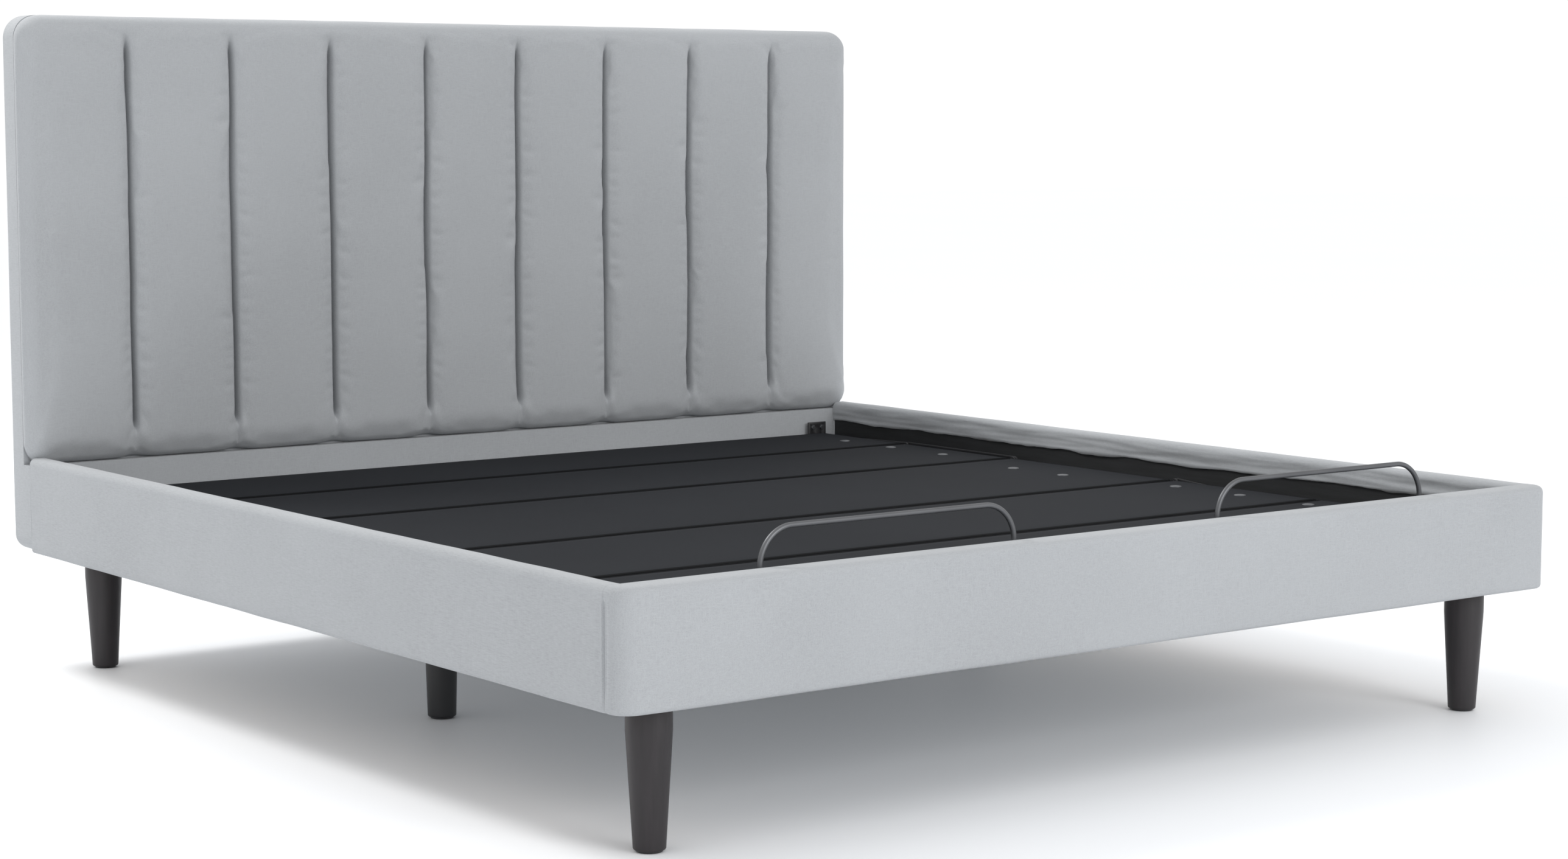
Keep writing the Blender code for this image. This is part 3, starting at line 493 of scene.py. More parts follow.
def pad_columns():
    """Positions across the pad, close together at the seams."""
    inner_low, inner_high = PAD_LOW[0] + PAD_ROLL, PAD_HIGH[0] - PAD_ROLL
    places = set()
    for slit in SLITS:
        for step in SEAM_COLUMNS:
            places.update((round(slit - step, 5), round(slit + step, 5)))
    for side in (1, -1):
        edge = inner_high if side > 0 else inner_low
        start = (SLITS[-1] if side > 0 else SLITS[0]) + side * SEAM_COLUMNS[-1]
        for k in range(1, 10):
            places.add(round(start + (edge - start) * k / 9, 5))
    return sorted(places)


def pad_rows():
    low, high = PAD_LOW[2] + PAD_ROLL, PAD_HIGH[2] - PAD_ROLL
    return [low + (high - low) * k / PAD_ROWS for k in range(PAD_ROWS + 1)]


def round_corner(x, z, columns, rows, radius):
    """Fold the grid's two square top corners onto rounded ones."""
    top = rows[-1]
    for side, edge in ((-1, columns[0]), (1, columns[-1])):
        a = (x - (edge - side * radius)) * side / radius
        b = (z - (top - radius)) / radius
        if a > 0 and b > 0:
            return (edge - side * radius + side * radius * a * math.sqrt(1 - b * b / 2),
                    top - radius + radius * b * math.sqrt(1 - a * a / 2))
    return x, z


def make_pad():
    columns, rows = pad_columns(), pad_rows()
    front = PAD_LOW[1] + PAD_SWELL + 0.002
    back = PAD_HIGH[1]
    radius = PAD_CORNER - PAD_ROLL
    bm = bmesh.new()
    pins = bm.verts.layers.float.new("pins")
    grid = []
    for z in rows:
        line = []
        for x in columns:
            index, off = nearest_slit(x)
            moved = x + slit_shift(index, z) * math.exp(-((off / 0.05) ** 2))
            px, pz = round_corner(moved, z, columns, rows, radius)
            line.append(bm.verts.new((px, front, pz)))
        grid.append(line)
    for lower, upper in zip(grid, grid[1:]):
        for k in range(len(columns) - 1):
            bm.faces.new((lower[k], lower[k + 1], upper[k + 1], upper[k]))
    right_side = [line[-1] for line in grid[1:]]
    left_side = [line[0] for line in grid[-2:0:-1]]
    loop = grid[0][:] + right_side + grid[-1][-2::-1] + left_side
    count = len(loop)
    outward = []
    for k, vert in enumerate(loop):
        along = loop[(k + 1) % count].co - loop[k - 1].co
        outward.append(Vector((along.z, 0.0, -along.x)).normalized())
    steps = 7
    rings = [loop]
    for s in range(1, steps + 1):
        turn = math.pi / 2 * s / steps
        shift, sink = PAD_ROLL * math.sin(turn), PAD_ROLL * (1 - math.cos(turn))
        rings.append([bm.verts.new(v.co + n * shift + Vector((0, sink, 0))) for v, n in zip(loop, outward)])
    edge = rings[-1]
    for depth in (0.6, 0.95, 1.0):
        rings.append([bm.verts.new((v.co.x, v.co.y + (back - v.co.y) * depth, v.co.z)) for v in edge])
    for inner, outer in zip(rings, rings[1:]):
        for k in range(count):
            n = (k + 1) % count
            bm.faces.new((inner[k], inner[n], outer[n], outer[k]))
    bmesh.ops.triangulate(bm, faces=[bm.faces.new(rings[-1])])
    bmesh.ops.recalc_face_normals(bm, faces=bm.faces)
    bm.normal_update()
    moves = []
    for vert in bm.verts:
        facing = max(0.0, -vert.normal.y)
        height = pad_height(vert.co.x, vert.co.z) * (0.25 + 0.75 * facing) if facing > 0.02 else 0.0
        moves.append(vert.normal * height)
    for vert, move in zip(bm.verts, moves):
        vert.co += move
        if vert.co.z < PAD_LOW[2] + 0.03:
            off = nearest_slit(vert.co.x)[1]
            rise = 0.0030 * math.exp(-((off / 0.030) ** 2)) + 0.0014 * wander(vert.co, 14.0, 8.0)
            vert.co.z += rise * smooth_step(PAD_LOW[2] + 0.03, PAD_LOW[2], vert.co.z)
    for vert in bm.verts:
        index, off = nearest_slit(vert.co.x)
        sewn = abs(off) < 0.0075 and SLIT_BOTTOM - 0.012 < vert.co.z < SLIT_TOP - 0.012
        rim = vert.co.y > front + 0.014 or vert.co.z < PAD_LOW[2] + 0.012 or vert.co.z > PAD_HIGH[2] - 0.022
        vert[pins] = 1.0 if sewn or rim else 0.0
    pad = finish_piece("headboard_channel_pad", bm, LIGHT_CLOTH, replaces=["headboard_pad"],
                       sharp=75.0)
    plump(pad, "pins", pressure=PAD_PRESSURE, frames=PAD_FRAMES, cap=PAD_MOST_MOVE)
    smoother = pad.modifiers.new("smooth", "SUBSURF")
    smoother.levels = smoother.render_levels = 1


# ---- headboard frame, rails and deck ------------------------------------------------------------
HEADBOARD_TOP_CORNER = 0.045
HEADBOARD_LOW_CORNER = 0.030
HEADBOARD_EDGE = 0.012


def make_headboard_frame():
    low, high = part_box("headboard_frame")
    pad_back = PAD_HIGH[1]
    bm = block(low, high)
    round_edges(bm, lambda a, b: abs(a.y - b.y) > 0.01 and min(a.z, b.z) > 1, HEADBOARD_TOP_CORNER, 12)
    round_edges(bm, lambda a, b: abs(a.y - b.y) > 0.01 and max(a.z, b.z) < low[2] + 1e-4,
                HEADBOARD_LOW_CORNER, 9)
    round_edges(bm, lambda a, b: min(a.y, b.y) > high[1] - 1e-4, HEADBOARD_EDGE, 5)
    slice_up(bm, 0, low[0], high[0], 0.04)
    slice_up(bm, 2, low[2], high[2], 0.04)
    ripple(bm, 0.0008, 5.0, 31.0)
    frame_piece = finish_piece("headboard_frame_cloth", bm, LIGHT_CLOTH, replaces=["headboard_frame"])
    cutter = block((-2, -2, PAD_LOW[2] - 0.0006), (2, pad_back + 0.0006, 2))
    mesh = bpy.data.meshes.new("pad_room")
    cutter.to_mesh(mesh)
    cutter.free()
    room = bpy.data.objects.new("pad_room", mesh)
    COLLECTION.objects.link(room)
    modifier = frame_piece.modifiers.new("pad_room", "BOOLEAN")
    modifier.operation = "DIFFERENCE"
    modifier.solver = "EXACT"
    modifier.object = room
    bpy.context.view_layer.update()
    graph = bpy.context.evaluated_depsgraph_get()
    cut_mesh = bpy.data.meshes.new_from_object(frame_piece.evaluated_get(graph))
    frame_piece.modifiers.clear()
    frame_piece.data = cut_mesh
    bpy.data.objects.remove(room)


DECK_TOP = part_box("seat_panel")[1][2]
DECK_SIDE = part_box("seat_panel")[1][0]
RAIL_TOP_ROUND = 0.012
RAIL_LOW_ROUND = 0.007
FOOT_CORNER_ROUND = 0.034
FLAP_END = 0.375
COVER_CLOTH = 0.0022
# width of the band along each deck panel's seam edges that is painted near-black, as shade in the gap
PAINTED_SHADE_EDGE = 0.010
SEAM_HALF_GAP = 0.0052


def cover_shell(name, bm, node, seed, inward, ends):
    """A padded rail cover: cloth over the board's outside, its top and the top of its inside."""
    low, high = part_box(node)
    flap = FLAP_END
    slice_up(bm, ends, low[ends], high[ends], 0.012)
    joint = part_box("foot_rail_cover")[1][1]
    outer = max(abs(low[0]), abs(high[0]))
    for step in (0.0012, 0.0028, 0.0048, 0.0075):
        for side in (-1, 1):
            if low[1] < joint + side * step < high[1]:
                cut_across(bm, 1, joint + side * step)
    slice_up(bm, 2, low[2] + 0.012, flap - 0.020, 0.008)
    slice_up(bm, 2, flap - 0.020, high[2] - 0.010, 0.0028)
    doomed = []
    for face in bm.faces:
        middle = face.calc_center_median()
        if inward(middle) and low[2] + 0.004 < middle.z < flap:
            doomed.append(face)
    bmesh.ops.delete(bm, geom=doomed, context="FACES")
    for vert in bm.verts:
        if vert.is_boundary and inward(vert.co):
            if vert.co.z > flap - 0.02:
                vert.co.z += 0.0055 * wander(vert.co, 8.0, seed) + 0.002 * wander(vert.co, 31.0, seed) - 0.003
    ripple(bm, 0.0009, 6.0, seed,
           lambda p: smooth_step(0.001, 0.015, min(abs(p.y - joint), high[1] - p.y + 0.1)))
    bm.normal_update()
    for vert in bm.verts:
        if inward(vert.co) and vert.co.z < high[2] - 0.004 and vert.co.z > flap - 0.012:
            crease = wander((vert.co.x * 4, vert.co.y * 6, vert.co.z * 55), 1.0, seed)
            crinkle = wander((vert.co.x * 13, vert.co.y * 13, vert.co.z * 130), 1.0, seed + 5.0)
            vert.co += vert.normal * (0.0026 * crease + 0.0014 * crinkle)
        near = abs(vert.co.y - joint)
        if near < 0.012 and abs(vert.co.x) > outer - 0.008:
            groove = 0.0042 * math.exp(-((near / 0.0030) ** 2))
            depth = groove - 0.0010 * math.exp(-(((near - 0.0075) / 0.003) ** 2))
            depth *= smooth_step(high[2] - 0.014, high[2] - 0.032, vert.co.z)
            depth *= 0.45 + 0.55 * smooth_step(low[2] + 0.004, low[2] + 0.06, vert.co.z)
            vert.co.x -= math.copysign(depth, vert.co.x)
    piece = finish_piece(name, bm, LIGHT_CLOTH, replaces=[node])
    shell = piece.modifiers.new("thickness", "SOLIDIFY")
    shell.thickness = COVER_CLOTH
    shell.offset = -1.0


def make_side_cover(side, sign):
    node = f"side_rail_{side}_cover"
    low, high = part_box(node)
    bm = block(low, high)
    round_edges(bm, lambda a, b: abs(a.y - b.y) > 1 and min(a.z, b.z) > high[2] - 1e-4, RAIL_TOP_ROUND, 6)
    round_edges(bm, lambda a, b: abs(a.y - b.y) > 1 and max(a.z, b.z) < low[2] + 1e-4, RAIL_LOW_ROUND, 4)
    inner = min(abs(low[0]), abs(high[0]))
    cover_shell(f"side_rail_{side}_padding", bm, node, 41.0 + sign,
                lambda p: abs(p.x) < inner + 0.0015, ends=1)


def make_foot_cover():
    node = "foot_rail_cover"
    low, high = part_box(node)
    left_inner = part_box("side_rail_left_cover")[1][0]
    right_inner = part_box("side_rail_right_cover")[0][0]
    inner = min(abs(left_inner), abs(right_inner))
    bm = block(low, high)
    round_edges(bm, lambda a, b: abs(a.z - b.z) > 0.1 and max(a.y, b.y) < low[1] + 1e-4,
                FOOT_CORNER_ROUND, 10)
    round_edges(bm, lambda a, b: min(a.z, b.z) > high[2] - 1e-4 and min(a.y, b.y) < high[1] - 1e-4,
                RAIL_TOP_ROUND, 6)
    round_edges(bm, lambda a, b: max(a.z, b.z) < low[2] + 1e-4 and min(a.y, b.y) < high[1] - 1e-4,
                RAIL_LOW_ROUND, 4)
    for step in (0.15, 0.4, 0.65, 0.85, 1.0):
        for axis in (1, 2):
            cut_across(bm, axis, high[axis] - RAIL_TOP_ROUND * step)
    for vert in bm.verts:
        a = (vert.co.y - high[1]) / RAIL_TOP_ROUND + 1.0
        b = (vert.co.z - high[2]) / RAIL_TOP_ROUND + 1.0
        if a > 0 and b > 0:
            bend = smooth_step(inner + 0.012, inner, abs(vert.co.x))
            vert.co.y += bend * RAIL_TOP_ROUND * a * (math.sqrt(1 - b * b / 2) - 1)
            vert.co.z += bend * RAIL_TOP_ROUND * b * (math.sqrt(1 - a * a / 2) - 1)
    cover_shell("foot_rail_padding", bm, node, 57.0,
                lambda p: p.y > high[1] - 0.0015 and abs(p.x) < high[0] - 0.040, ends=0)


def make_deck_panel(node, body, seed):
    low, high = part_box(node)
    bm = block(low, high)
    round_edges(bm, lambda a, b: True, 0.005, 4)
    slice_up(bm, 0, low[0], high[0], 0.035)
    slice_up(bm, 1, low[1], high[1], 0.035)
    edge = 0.014
    for axis in (0, 1):
        for inset in (0.007, PAINTED_SHADE_EDGE, edge):
            cut_across(bm, axis, low[axis] + inset)
            cut_across(bm, axis, high[axis] - inset)
    for vert in bm.verts:
        if vert.co.z > high[2] - 0.001:
            inset = min(vert.co.x - low[0], high[0] - vert.co.x, vert.co.y - low[1], high[1] - vert.co.y)
            vert.co.z -= 0.0022 * (1 - smooth_step(0.0, edge, inset))
    ripple(bm, 0.0005, 7.0, seed, lambda p: 1.0 if p.z > high[2] - 0.003 else 0.0)
    for face in bm.faces:
        middle = face.calc_center_median()
        # faces in that band along the seam edges take the near-black cloth: painted shade
        face.material_index = int(min(middle.y - low[1], high[1] - middle.y) < PAINTED_SHADE_EDGE)
    piece = finish_piece(node + "_cloth", bm, DECK_CLOTH, body, [node])
    piece.data.materials.append(SEAM_SHADE_CLOTH)


def make_seam_strip(name, y, z, low_body, high_body):
    """Cloth that dips between two deck panels and hides the hinge rod below; its near-black colour is painted
    shade for the shadow in the gap.
    """
    half, gap = DECK_SIDE - 0.004, SEAM_HALF_GAP
    top = DECK_TOP - 0.0004
    sag = [(-gap, top - 0.0105), (-gap * 0.6, top - 0.0022), (-gap * 0.2, top - 0.0012),
           (gap * 0.2, top - 0.0012), (gap * 0.6, top - 0.0022), (gap, top - 0.0105)]
    count = 96
    bm = bmesh.new()
    rows = []
    for k in range(count + 1):
        x = -half + 2 * half * k / count
        lift = 0.00035 * wander((x, y, 0.0), 18.0, 9.0)
        rows.append([bm.verts.new((x, y + dy, h + lift)) for dy, h in sag])
    for near, far in zip(rows, rows[1:]):
        for k in range(len(sag) - 1):
            bm.faces.new((near[k], near[k + 1], far[k + 1], far[k]))
    bmesh.ops.recalc_face_normals(bm, faces=bm.faces)
    mesh = bpy.data.meshes.new(name)
    bm.to_mesh(mesh)
    bm.free()
    mesh.shade_smooth()
    mesh.materials.append(SEAM_SHADE_CLOTH)
    strip = bpy.data.objects.new(name, mesh)
    COLLECTION.objects.link(strip)
    shell = strip.modifiers.new("thickness", "SOLIDIFY")
    shell.thickness = 0.0008
    shell.offset = -1.0
    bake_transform(strip, low_body, high_body, (0.0, y - gap, z), (0.0, y + gap, z))


# ---- legs, retainers and deck bolts --------------------------------------------------------------
# where a leg's turned taper starts, and the radius of its foot
LEG_TAPER = (0.182, 0.025)
MID_LEG_TAPER = (0.160, 0.0258)


def make_leg(node, material, taper, body="bed"):
    low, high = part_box(node)
    x, y = (low[0] + high[0]) / 2, (low[1] + high[1]) / 2
    top = (high[0] - low[0]) / 2
    shoulder, foot = taper
    profile = [(top - 0.0018, high[2]), (top - 0.0005, high[2] - 0.0006), (top, high[2] - 0.0022)]
    profile += [(top - (top - foot) * smooth_step(0.0, 1.0, t) * 0.06 - (top - foot) * 0.94 * t,
                 shoulder + (0.007 - shoulder) * t) for t in [k / 12 for k in range(13)]]
    profile += [(foot - 0.0035 * (1 - math.cos(t)), 0.0065 - 0.0035 * math.sin(t))
                for t in [math.pi / 2 * k / 5 for k in range(1, 6)]]
    finish_piece(node + "_turned", turned(profile, x, y), material, body, [node])
    pad = [(foot - 0.006, 0.0031), (foot - 0.005, 0.0026), (foot - 0.005, 0.0006), (foot - 0.0056, 0.0)]
    finish_piece(node + "_glide", turned(pad, x, y, 40), PLASTIC, body)


ROD_CORNER = 0.060
ROD_BEND = 0.016
ROD_RADIUS = 0.0045


def rod_route(low, high, radius):
    """Middle line of a retainer: tail, bend, upright, shoulder and the same mirrored."""
    x0, x1 = low[0] + radius, high[0] - radius
    y = low[1] + radius
    top, tail = high[2] - radius, low[2] + radius
    points = [Vector((x0, high[1] - 0.0005, tail)), Vector((x0, y + 0.045, tail))]
    points += [Vector((x0, y + ROD_BEND * (1 - math.sin(t)), tail + ROD_BEND * (1 - math.cos(t))))
               for t in [math.pi / 2 * k / 8 for k in range(9)]]
    upright = top - ROD_CORNER - tail - ROD_BEND
    points += [Vector((x0, y, tail + ROD_BEND + upright * t)) for t in (0.33, 0.66)]
    points += [Vector((x0 + ROD_CORNER * (1 - math.cos(t)), y, top - ROD_CORNER * (1 - math.sin(t))))
               for t in [math.pi / 2 * k / 18 for k in range(19)]]
    middle = (x0 + x1) / 2
    mirrored = [Vector((2 * middle - p.x, p.y, p.z)) for p in reversed(points)]
    return points + [Vector((middle, y, top))] + mirrored


def tube(points, radius, segments=20):
    """A closed round tube along a line of points."""
    bm = bmesh.new()
    rings = []
    starts_level = abs((points[1] - points[0]).normalized().z) < 0.9
    side = Vector((0.0, 0.0, 1.0)) if starts_level else Vector((1.0, 0.0, 0.0))
    for k, point in enumerate(points):
        along = (points[min(k + 1, len(points) - 1)] - points[max(k - 1, 0)]).normalized()
        side = (side - along * side.dot(along)).normalized()
        other = along.cross(side)
        rings.append([bm.verts.new(point + radius * (side * math.cos(t) + other * math.sin(t)))
                      for t in [2 * math.pi * s / segments for s in range(segments)]])
    for near, far in zip(rings, rings[1:]):
        for s in range(segments):
            n = (s + 1) % segments
            bm.faces.new((near[s], near[n], far[n], far[s]))
    bm.faces.new(rings[0])
    bm.faces.new(rings[-1])
    return bm


def make_retainers():
    for side in ("left", "right"):
        node = f"retainer_bar_{side}"
        low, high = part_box(node)
        rod = tube(rod_route(low, high, ROD_RADIUS), ROD_RADIUS - 0.0001)
        finish_piece(node + "_rod", rod, GREY_ROD, "foot_section", [node])


# (x, y) of the right-hand bolt heads on each section of the deck; the left-hand ones mirror them
DECK_BOLTS = {
    "pillow_section": [(0.85, 0.787)],
    "back_section": [(0.85, 0.620), (0.85, 0.440)],
    "bed": [(0.80, 0.150), (0.80, -0.004)],
    "thigh_section": [(0.85, -0.283), (0.85, -0.460)],
    "foot_section": [(0.85, -0.641)],
}


def bolt_head(x, y, z, radius=0.0120, height=0.0026):
    """A low domed carriage-bolt head, with a rolled rim."""
    profile = [(radius * math.cos(t), z + 0.0006 + (height - 0.0006) * math.sin(t))
               for t in [math.pi / 2 * k / 7 for k in range(7, -1, -1)][1:]]
    profile = [(radius * 0.06, z + height)] + profile + [(radius, z - 0.0012)]
    return turned(profile, x, y, 28)


def make_deck_bolts():
    for body, places in DECK_BOLTS.items():
        for k, (x, y) in enumerate(places):
            for side, sign in (("left", -1), ("right", 1)):
                finish_piece(f"deck_bolt_{body}_{side}_{k + 1}", bolt_head(sign * x, y, DECK_TOP - 0.0004),
                             ZINC, body)


# ---- steel, timber and plastic parts with eased edges, and their fixings -------------------------
SLOT_OF = {part["node"]: part["material_slot"] for part in frame["record"]["subparts"]}
FINISHES = {"black_steel": POWDER, "black_plastic": PLASTIC, "bright_steel": CHROME, "timber": PINE,
            "black_board": BOARD}
STEEL_EDGE = 0.0016
THIN_STEEL_EDGE = 0.0008
TIMBER_EDGE = 0.0014
PLASTIC_EDGE = 0.0018
WOOD_SCREW = (0.0048, 0.0026)
DOWN = (0, 0, -1)
LEDGER_SCREWS = 8
# x and z of each actuator's middle line; the motor widens the box to one side, so x isn't its middle
ACTUATOR_LINES = {"head_actuator": (0.140, 0.199), "foot_actuator": (-0.140, 0.199),
                  "pillow_actuator": (0.0, 0.256)}
REAR_EYE = 0.011


def ease_edges(node, width, material=None):
    """The CAD part again with small rounded edges, as folded, sawn or moulded pieces have."""
    bm = bmesh.new()
    bm.from_mesh(NODES[node].data)
    bmesh.ops.remove_doubles(bm, verts=bm.verts, dist=1e-6)
    bmesh.ops.dissolve_limit(bm, angle_limit=math.radians(0.6), verts=bm.verts, edges=bm.edges)
    edges = [e for e in bm.edges if len(e.link_faces) == 2 and e.calc_face_angle(0.0) > math.radians(40)]
    bmesh.ops.bevel(bm, geom=edges, offset=width, segments=2, profile=0.5, affect="EDGES", clamp_overlap=True)
    body = body_of(NODES[node])[0]
    finish_piece(node + "_eased", bm, material or FINISHES[SLOT_OF[node]], body, [node], 35.0)


def add_shape(target, part):
    """Add one bmesh to another and free it."""
    mesh = bpy.data.meshes.new("part")
    part.to_mesh(mesh)
    part.free()
    target.from_mesh(mesh)
    bpy.data.meshes.remove(mesh)


def lay_along(bm, place, axis):
    """Turn a shape made along +Z to lie along an axis, and move it to its place."""
    turn = Vector((0, 0, 1)).rotation_difference(Vector(axis)).to_matrix().to_4x4()
    bmesh.ops.transform(bm, matrix=Matrix.Translation(place) @ turn, verts=bm.verts)
    return bm


def turned_along(profile, place, axis, segments=32):
    """A turned shape whose profile is (radius, distance along the axis from place)."""
    return lay_along(turned(profile, 0.0, 0.0, segments), place, axis)


def pan_head(place, axis, radius, height):
    """A domed screw head with a round drive recess pressed in."""
    profile = [(radius * 0.98, 0.0), (radius, height * 0.25), (radius * 0.93, height * 0.62),
               (radius * 0.72, height * 0.90), (radius * 0.34, height), (radius * 0.30, height * 0.55)]
    return turned_along(profile, place, axis, 24)


def hex_head(place, axis, radius, height):
    """A six-sided bolt head with a washer face and a chamfer."""
    washer = turned_along([(radius * 1.18, 0.0), (radius * 1.18, height * 0.18)], place, axis, 32)
    head = turned_along([(radius * 0.96, height * 0.2), (radius, height * 0.26), (radius, height * 0.86),
                         (radius * 0.88, height)], place, axis, 6)
    add_shape(washer, head)
    return washer


def collar(place, axis, inner, outer, length, segments=32):
    """A ring that fits round a pin."""
    bm = turned([(inner, 0.0), (inner, length), (outer * 0.97, length), (outer, length * 0.8),
                 (outer, length * 0.2), (outer * 0.97, 0.0)], 0.0, 0.0, segments)
    caps = [face for face in bm.faces if len(face.verts) == segments]
    bmesh.ops.delete(bm, geom=caps, context="FACES_ONLY")
    around = sorted((v for v in bm.verts if abs(v.co.z) < 1e-7), key=lambda v: math.atan2(v.co.y, v.co.x))
    wide = [v for v in around if v.co.xy.length > (inner + outer) / 2]
    tight = [v for v in around if v.co.xy.length < (inner + outer) / 2]
    for k in range(segments):
        n = (k + 1) % segments
        bm.faces.new((wide[k], wide[n], tight[n], tight[k]))
    return lay_along(bm, place, axis)


def make_frame_parts():
    for node, slot in SLOT_OF.items():
        if slot == "black_steel" and not node.startswith("hinge_rod"):
            thin = "arm" in node or "link" in node or "bracket" in node
            ease_edges(node, THIN_STEEL_EDGE if thin else STEEL_EDGE)
        elif slot == "timber":
            ease_edges(node, TIMBER_EDGE, PINE_ACROSS if node.startswith("corner") else PINE)
        elif slot == "black_plastic" and not node.startswith("mid_leg"):
            ease_edges(node, PLASTIC_EDGE)


def node_middle(node):
    low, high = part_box(node)
    return [(a + b) / 2 for a, b in zip(low, high)]


def make_timber_fixings():
    """Screws under the blocks and ledgers, and the steel plate round each leg's top."""
    screws = bmesh.new()
    plates = bmesh.new()
    for side in ("left", "right"):
        for end in ("front", "rear"):
            low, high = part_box(f"corner_block_{end}_{side}")
            leg_low, leg_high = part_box(f"leg_{end}_{side}")
            x, y = (leg_low[0] + leg_high[0]) / 2, (leg_low[1] + leg_high[1]) / 2
            radius = (leg_high[0] - leg_low[0]) / 2
            plate = collar((x, y, low[2] - 0.0003), DOWN, radius + 0.0006, radius + 0.011, 0.0018)
            add_shape(plates, plate)
            for sx in (low[0] + 0.016, high[0] - 0.016):
                for sy in (low[1] + 0.016, high[1] - 0.016):
                    add_shape(screws, pan_head((sx, sy, low[2] - 0.0002), DOWN, *WOOD_SCREW))
        low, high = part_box(f"ledger_{side}")
        for k in range(LEDGER_SCREWS):
            y = low[1] + 0.09 + (high[1] - low[1] - 0.18) * k / (LEDGER_SCREWS - 1)
            place = ((low[0] + high[0]) / 2, y, low[2] - 0.0002)
            if abs(place[1] - node_middle("centre_beam")[1]) > 0.03:
                add_shape(screws, pan_head(place, DOWN, *WOOD_SCREW))
    finish_piece("timber_screws", screws, ZINC)
    finish_piece("leg_plates", plates, POWDER)


def pin_heads(name, body, x, y, z, reach, radius, height, hexed):
    """Heads or clips on both ends of a cross pin."""
    bm = bmesh.new()
    for side in (-1, 1):
        shape = hex_head if hexed else pan_head
        add_shape(bm, shape((x + side * reach, y, z), (side, 0, 0), radius, height))
    finish_piece(name, bm, ZINC, body, sharp=30.0)


def make_drive_fixings():
    """Bolts, clips, caps and screws of the three actuators, and the control box's screws and pins."""
    rear = {"head_actuator": ("bed", 1), "foot_actuator": ("bed", -1), "pillow_actuator": ("back_section", 1)}
    for node, (body, direction) in rear.items():
        low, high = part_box(node)
        x, z = ACTUATOR_LINES[node]
        eye_y = low[1] + REAR_EYE if direction > 0 else high[1] - REAR_EYE
        pin_heads(node + "_rear_bolt", body, x, eye_y, z, 0.0153, 0.0075, 0.005, True)
        side = 1 if x >= 0 else -1
        can_end = high[0] if side > 0 else low[0]
        small = node == "pillow_actuator"
        can_radius, reach = (0.016, 0.054) if small else (0.024, 0.062)
        can_y = eye_y + direction * reach
        cap = turned_along([(can_radius + 0.0008, -0.006), (can_radius + 0.0012, -0.001),
                            (can_radius * 0.96, 0.0016), (can_radius * 0.5, 0.0022)],
                           (can_end, can_y, z), (side, 0, 0), 40)
        finish_piece(node + "_motor_cap", cap, PLASTIC, body)
        screws = bmesh.new()
        for k in range(3):
            turn = 2 * math.pi * k / 3 + 0.5
            place = (can_end + side * 0.0012, can_y + can_radius * 0.74 * math.cos(turn),
                     z + can_radius * 0.74 * math.sin(turn))
            add_shape(screws, pan_head(place, (side, 0, 0), 0.0019, 0.0012))
        finish_piece(node + "_cap_screws", screws, ZINC, body)
    for node, body, width in (("head_actuator_rod", "head_rod", 0.011),
                              ("foot_actuator_rod", "foot_rod", 0.011),
                              ("pillow_actuator_rod", "pillow_rod", 0.010)):
        low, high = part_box(node)
        x, z = (low[0] + high[0]) / 2, (low[2] + high[2]) / 2
        tip = 0.010 if body == "pillow_rod" else 0.011
        pin_y = low[1] + tip if body == "foot_rod" else high[1] - tip
        pin_heads(node + "_pin_clips", body, x, pin_y, z, width + 0.0002, 0.0062, 0.0022, False)
    low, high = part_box("control_box")
    box_parts = bmesh.new()
    for sx in (low[0] + 0.012, high[0] - 0.012):
        for sy in (low[1] + 0.012, high[1] - 0.012):
            add_shape(box_parts, pan_head((sx, sy, low[2] - 0.0001), DOWN, 0.0032, 0.0016))
    finish_piece("control_box_screws", box_parts, ZINC)
    pins = bmesh.new()
    for side in (-1, 1):
        x, z = low[0] + 0.030 + side * 0.0045, (low[2] + high[2]) / 2
        add_shape(pins, turned_along([(0.0012, 0.0003), (0.0012, 0.0085), (0.0008, 0.0090)],
                                     (x, low[1] + 0.0117, z), (0, -1, 0), 12))
    finish_piece("control_box_inlet_pins", pins, ZINC)


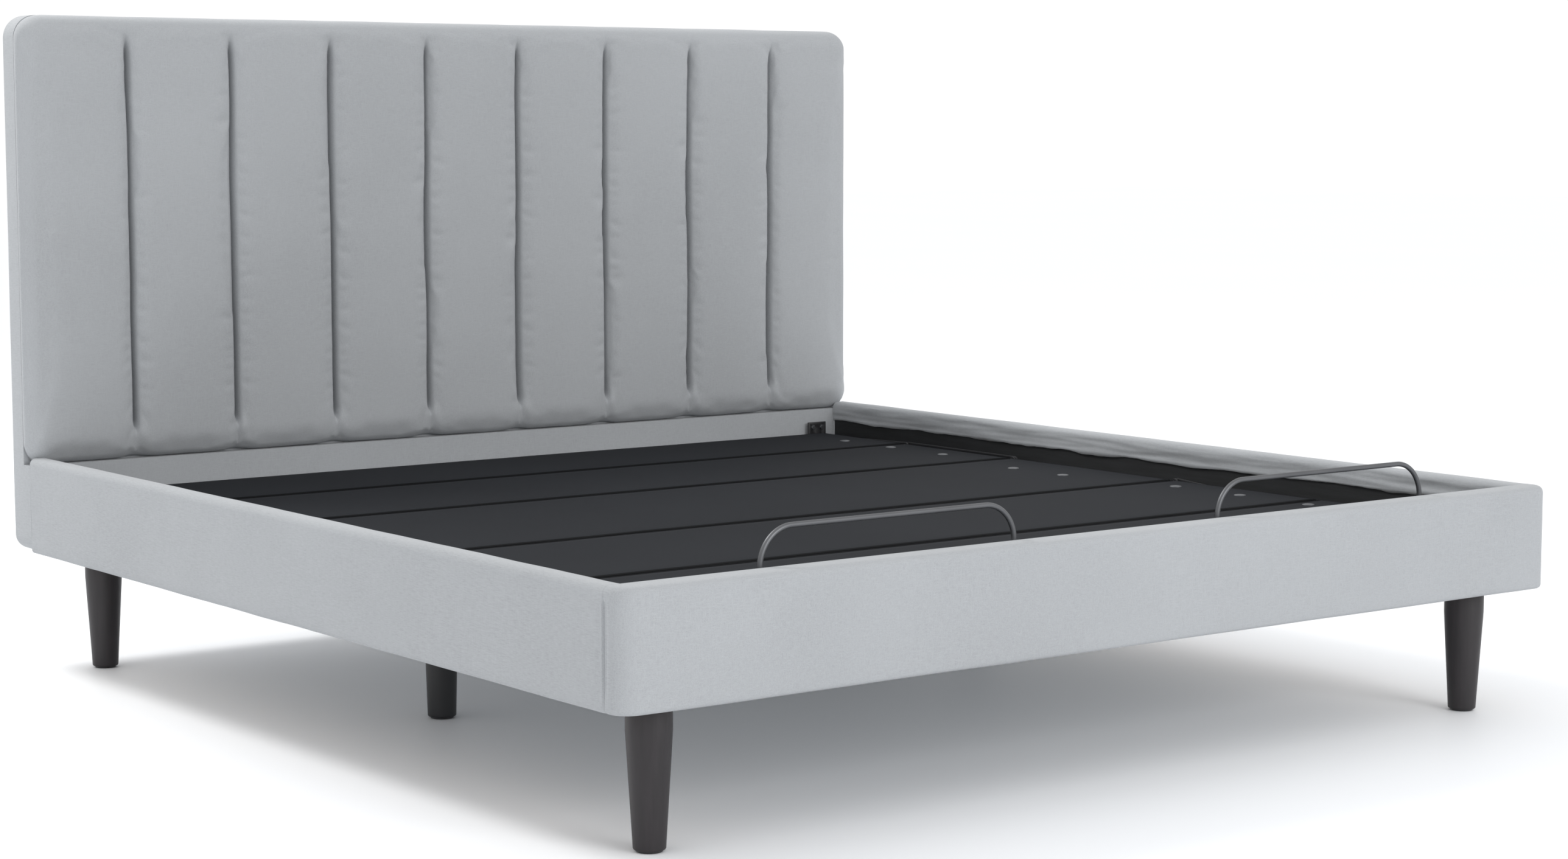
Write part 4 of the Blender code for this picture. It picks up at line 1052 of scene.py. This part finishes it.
def make_hinge_clips():
    """Spring rings on the ends of the hinge rods, and the bracket bolts."""
    for node, body in (("hinge_rod_back", "bed"), ("hinge_rod_thigh", "bed"),
                       ("hinge_rod_pillow", "back_section"), ("hinge_rod_knee", "thigh_section")):
        low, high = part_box(node)
        y, z = (low[1] + high[1]) / 2, (low[2] + high[2]) / 2
        bm = bmesh.new()
        for side in (-1, 1):
            add_shape(bm, collar((side * (high[0] - 0.0020), y, z), (side, 0, 0), 0.0042, 0.0068, 0.0014))
        finish_piece(node + "_clips", bm, ZINC, body)
    for side in ("left", "right"):
        low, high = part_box(f"head_bracket_{side}")
        bm = bmesh.new()
        middle = (low[0] + high[0]) / 2
        for x in (middle - 0.0125, middle + 0.0125):
            add_shape(bm, hex_head((x, low[1] - 0.0002, high[2] - 0.0125), (0, -1, 0), 0.0056, 0.0034))
        finish_piece(f"head_bracket_{side}_bolts", bm, ZINC, sharp=30.0)


def paint_frame():
    """Materials for the CAD nodes that stay."""
    for name, node in NODES.items():
        material = FINISHES.get(SLOT_OF[name])
        if material:
            node.data.materials.clear()
            node.data.materials.append(material)


make_camera()
make_stage()
make_pad()
make_headboard_frame()
for rail_side, rail_sign in (("left", -1), ("right", 1)):
    make_side_cover(rail_side, rail_sign)
make_foot_cover()
for number, (panel, owner) in enumerate((("pillow_panel", "pillow_section"), ("back_panel", "back_section"),
                                         ("seat_panel", "bed"), ("thigh_panel", "thigh_section"),
                                         ("foot_panel", "foot_section"))):
    make_deck_panel(panel, owner, 70.0 + number)
for joint_name, low_owner, high_owner in (("pillow", "back_section", "pillow_section"),
                                          ("back", "bed", "back_section"),
                                          ("thigh", "thigh_section", "bed"),
                                          ("knee", "foot_section", "thigh_section")):
    (_, rod_near, _), (_, rod_far, rod_top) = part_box(f"hinge_rod_{joint_name}")
    make_seam_strip(f"{joint_name}_seam_cloth", (rod_near + rod_far) / 2, rod_top, low_owner, high_owner)
for end in ("front", "rear"):
    for rail_side in ("left", "right"):
        make_leg(f"leg_{end}_{rail_side}", LEG_WOOD, LEG_TAPER)
for rail_side in ("left", "right"):
    make_leg(f"mid_leg_{rail_side}", PLASTIC, MID_LEG_TAPER)
make_retainers()
make_deck_bolts()
make_frame_parts()
make_timber_fixings()
make_drive_fixings()
make_hinge_clips()
paint_frame()
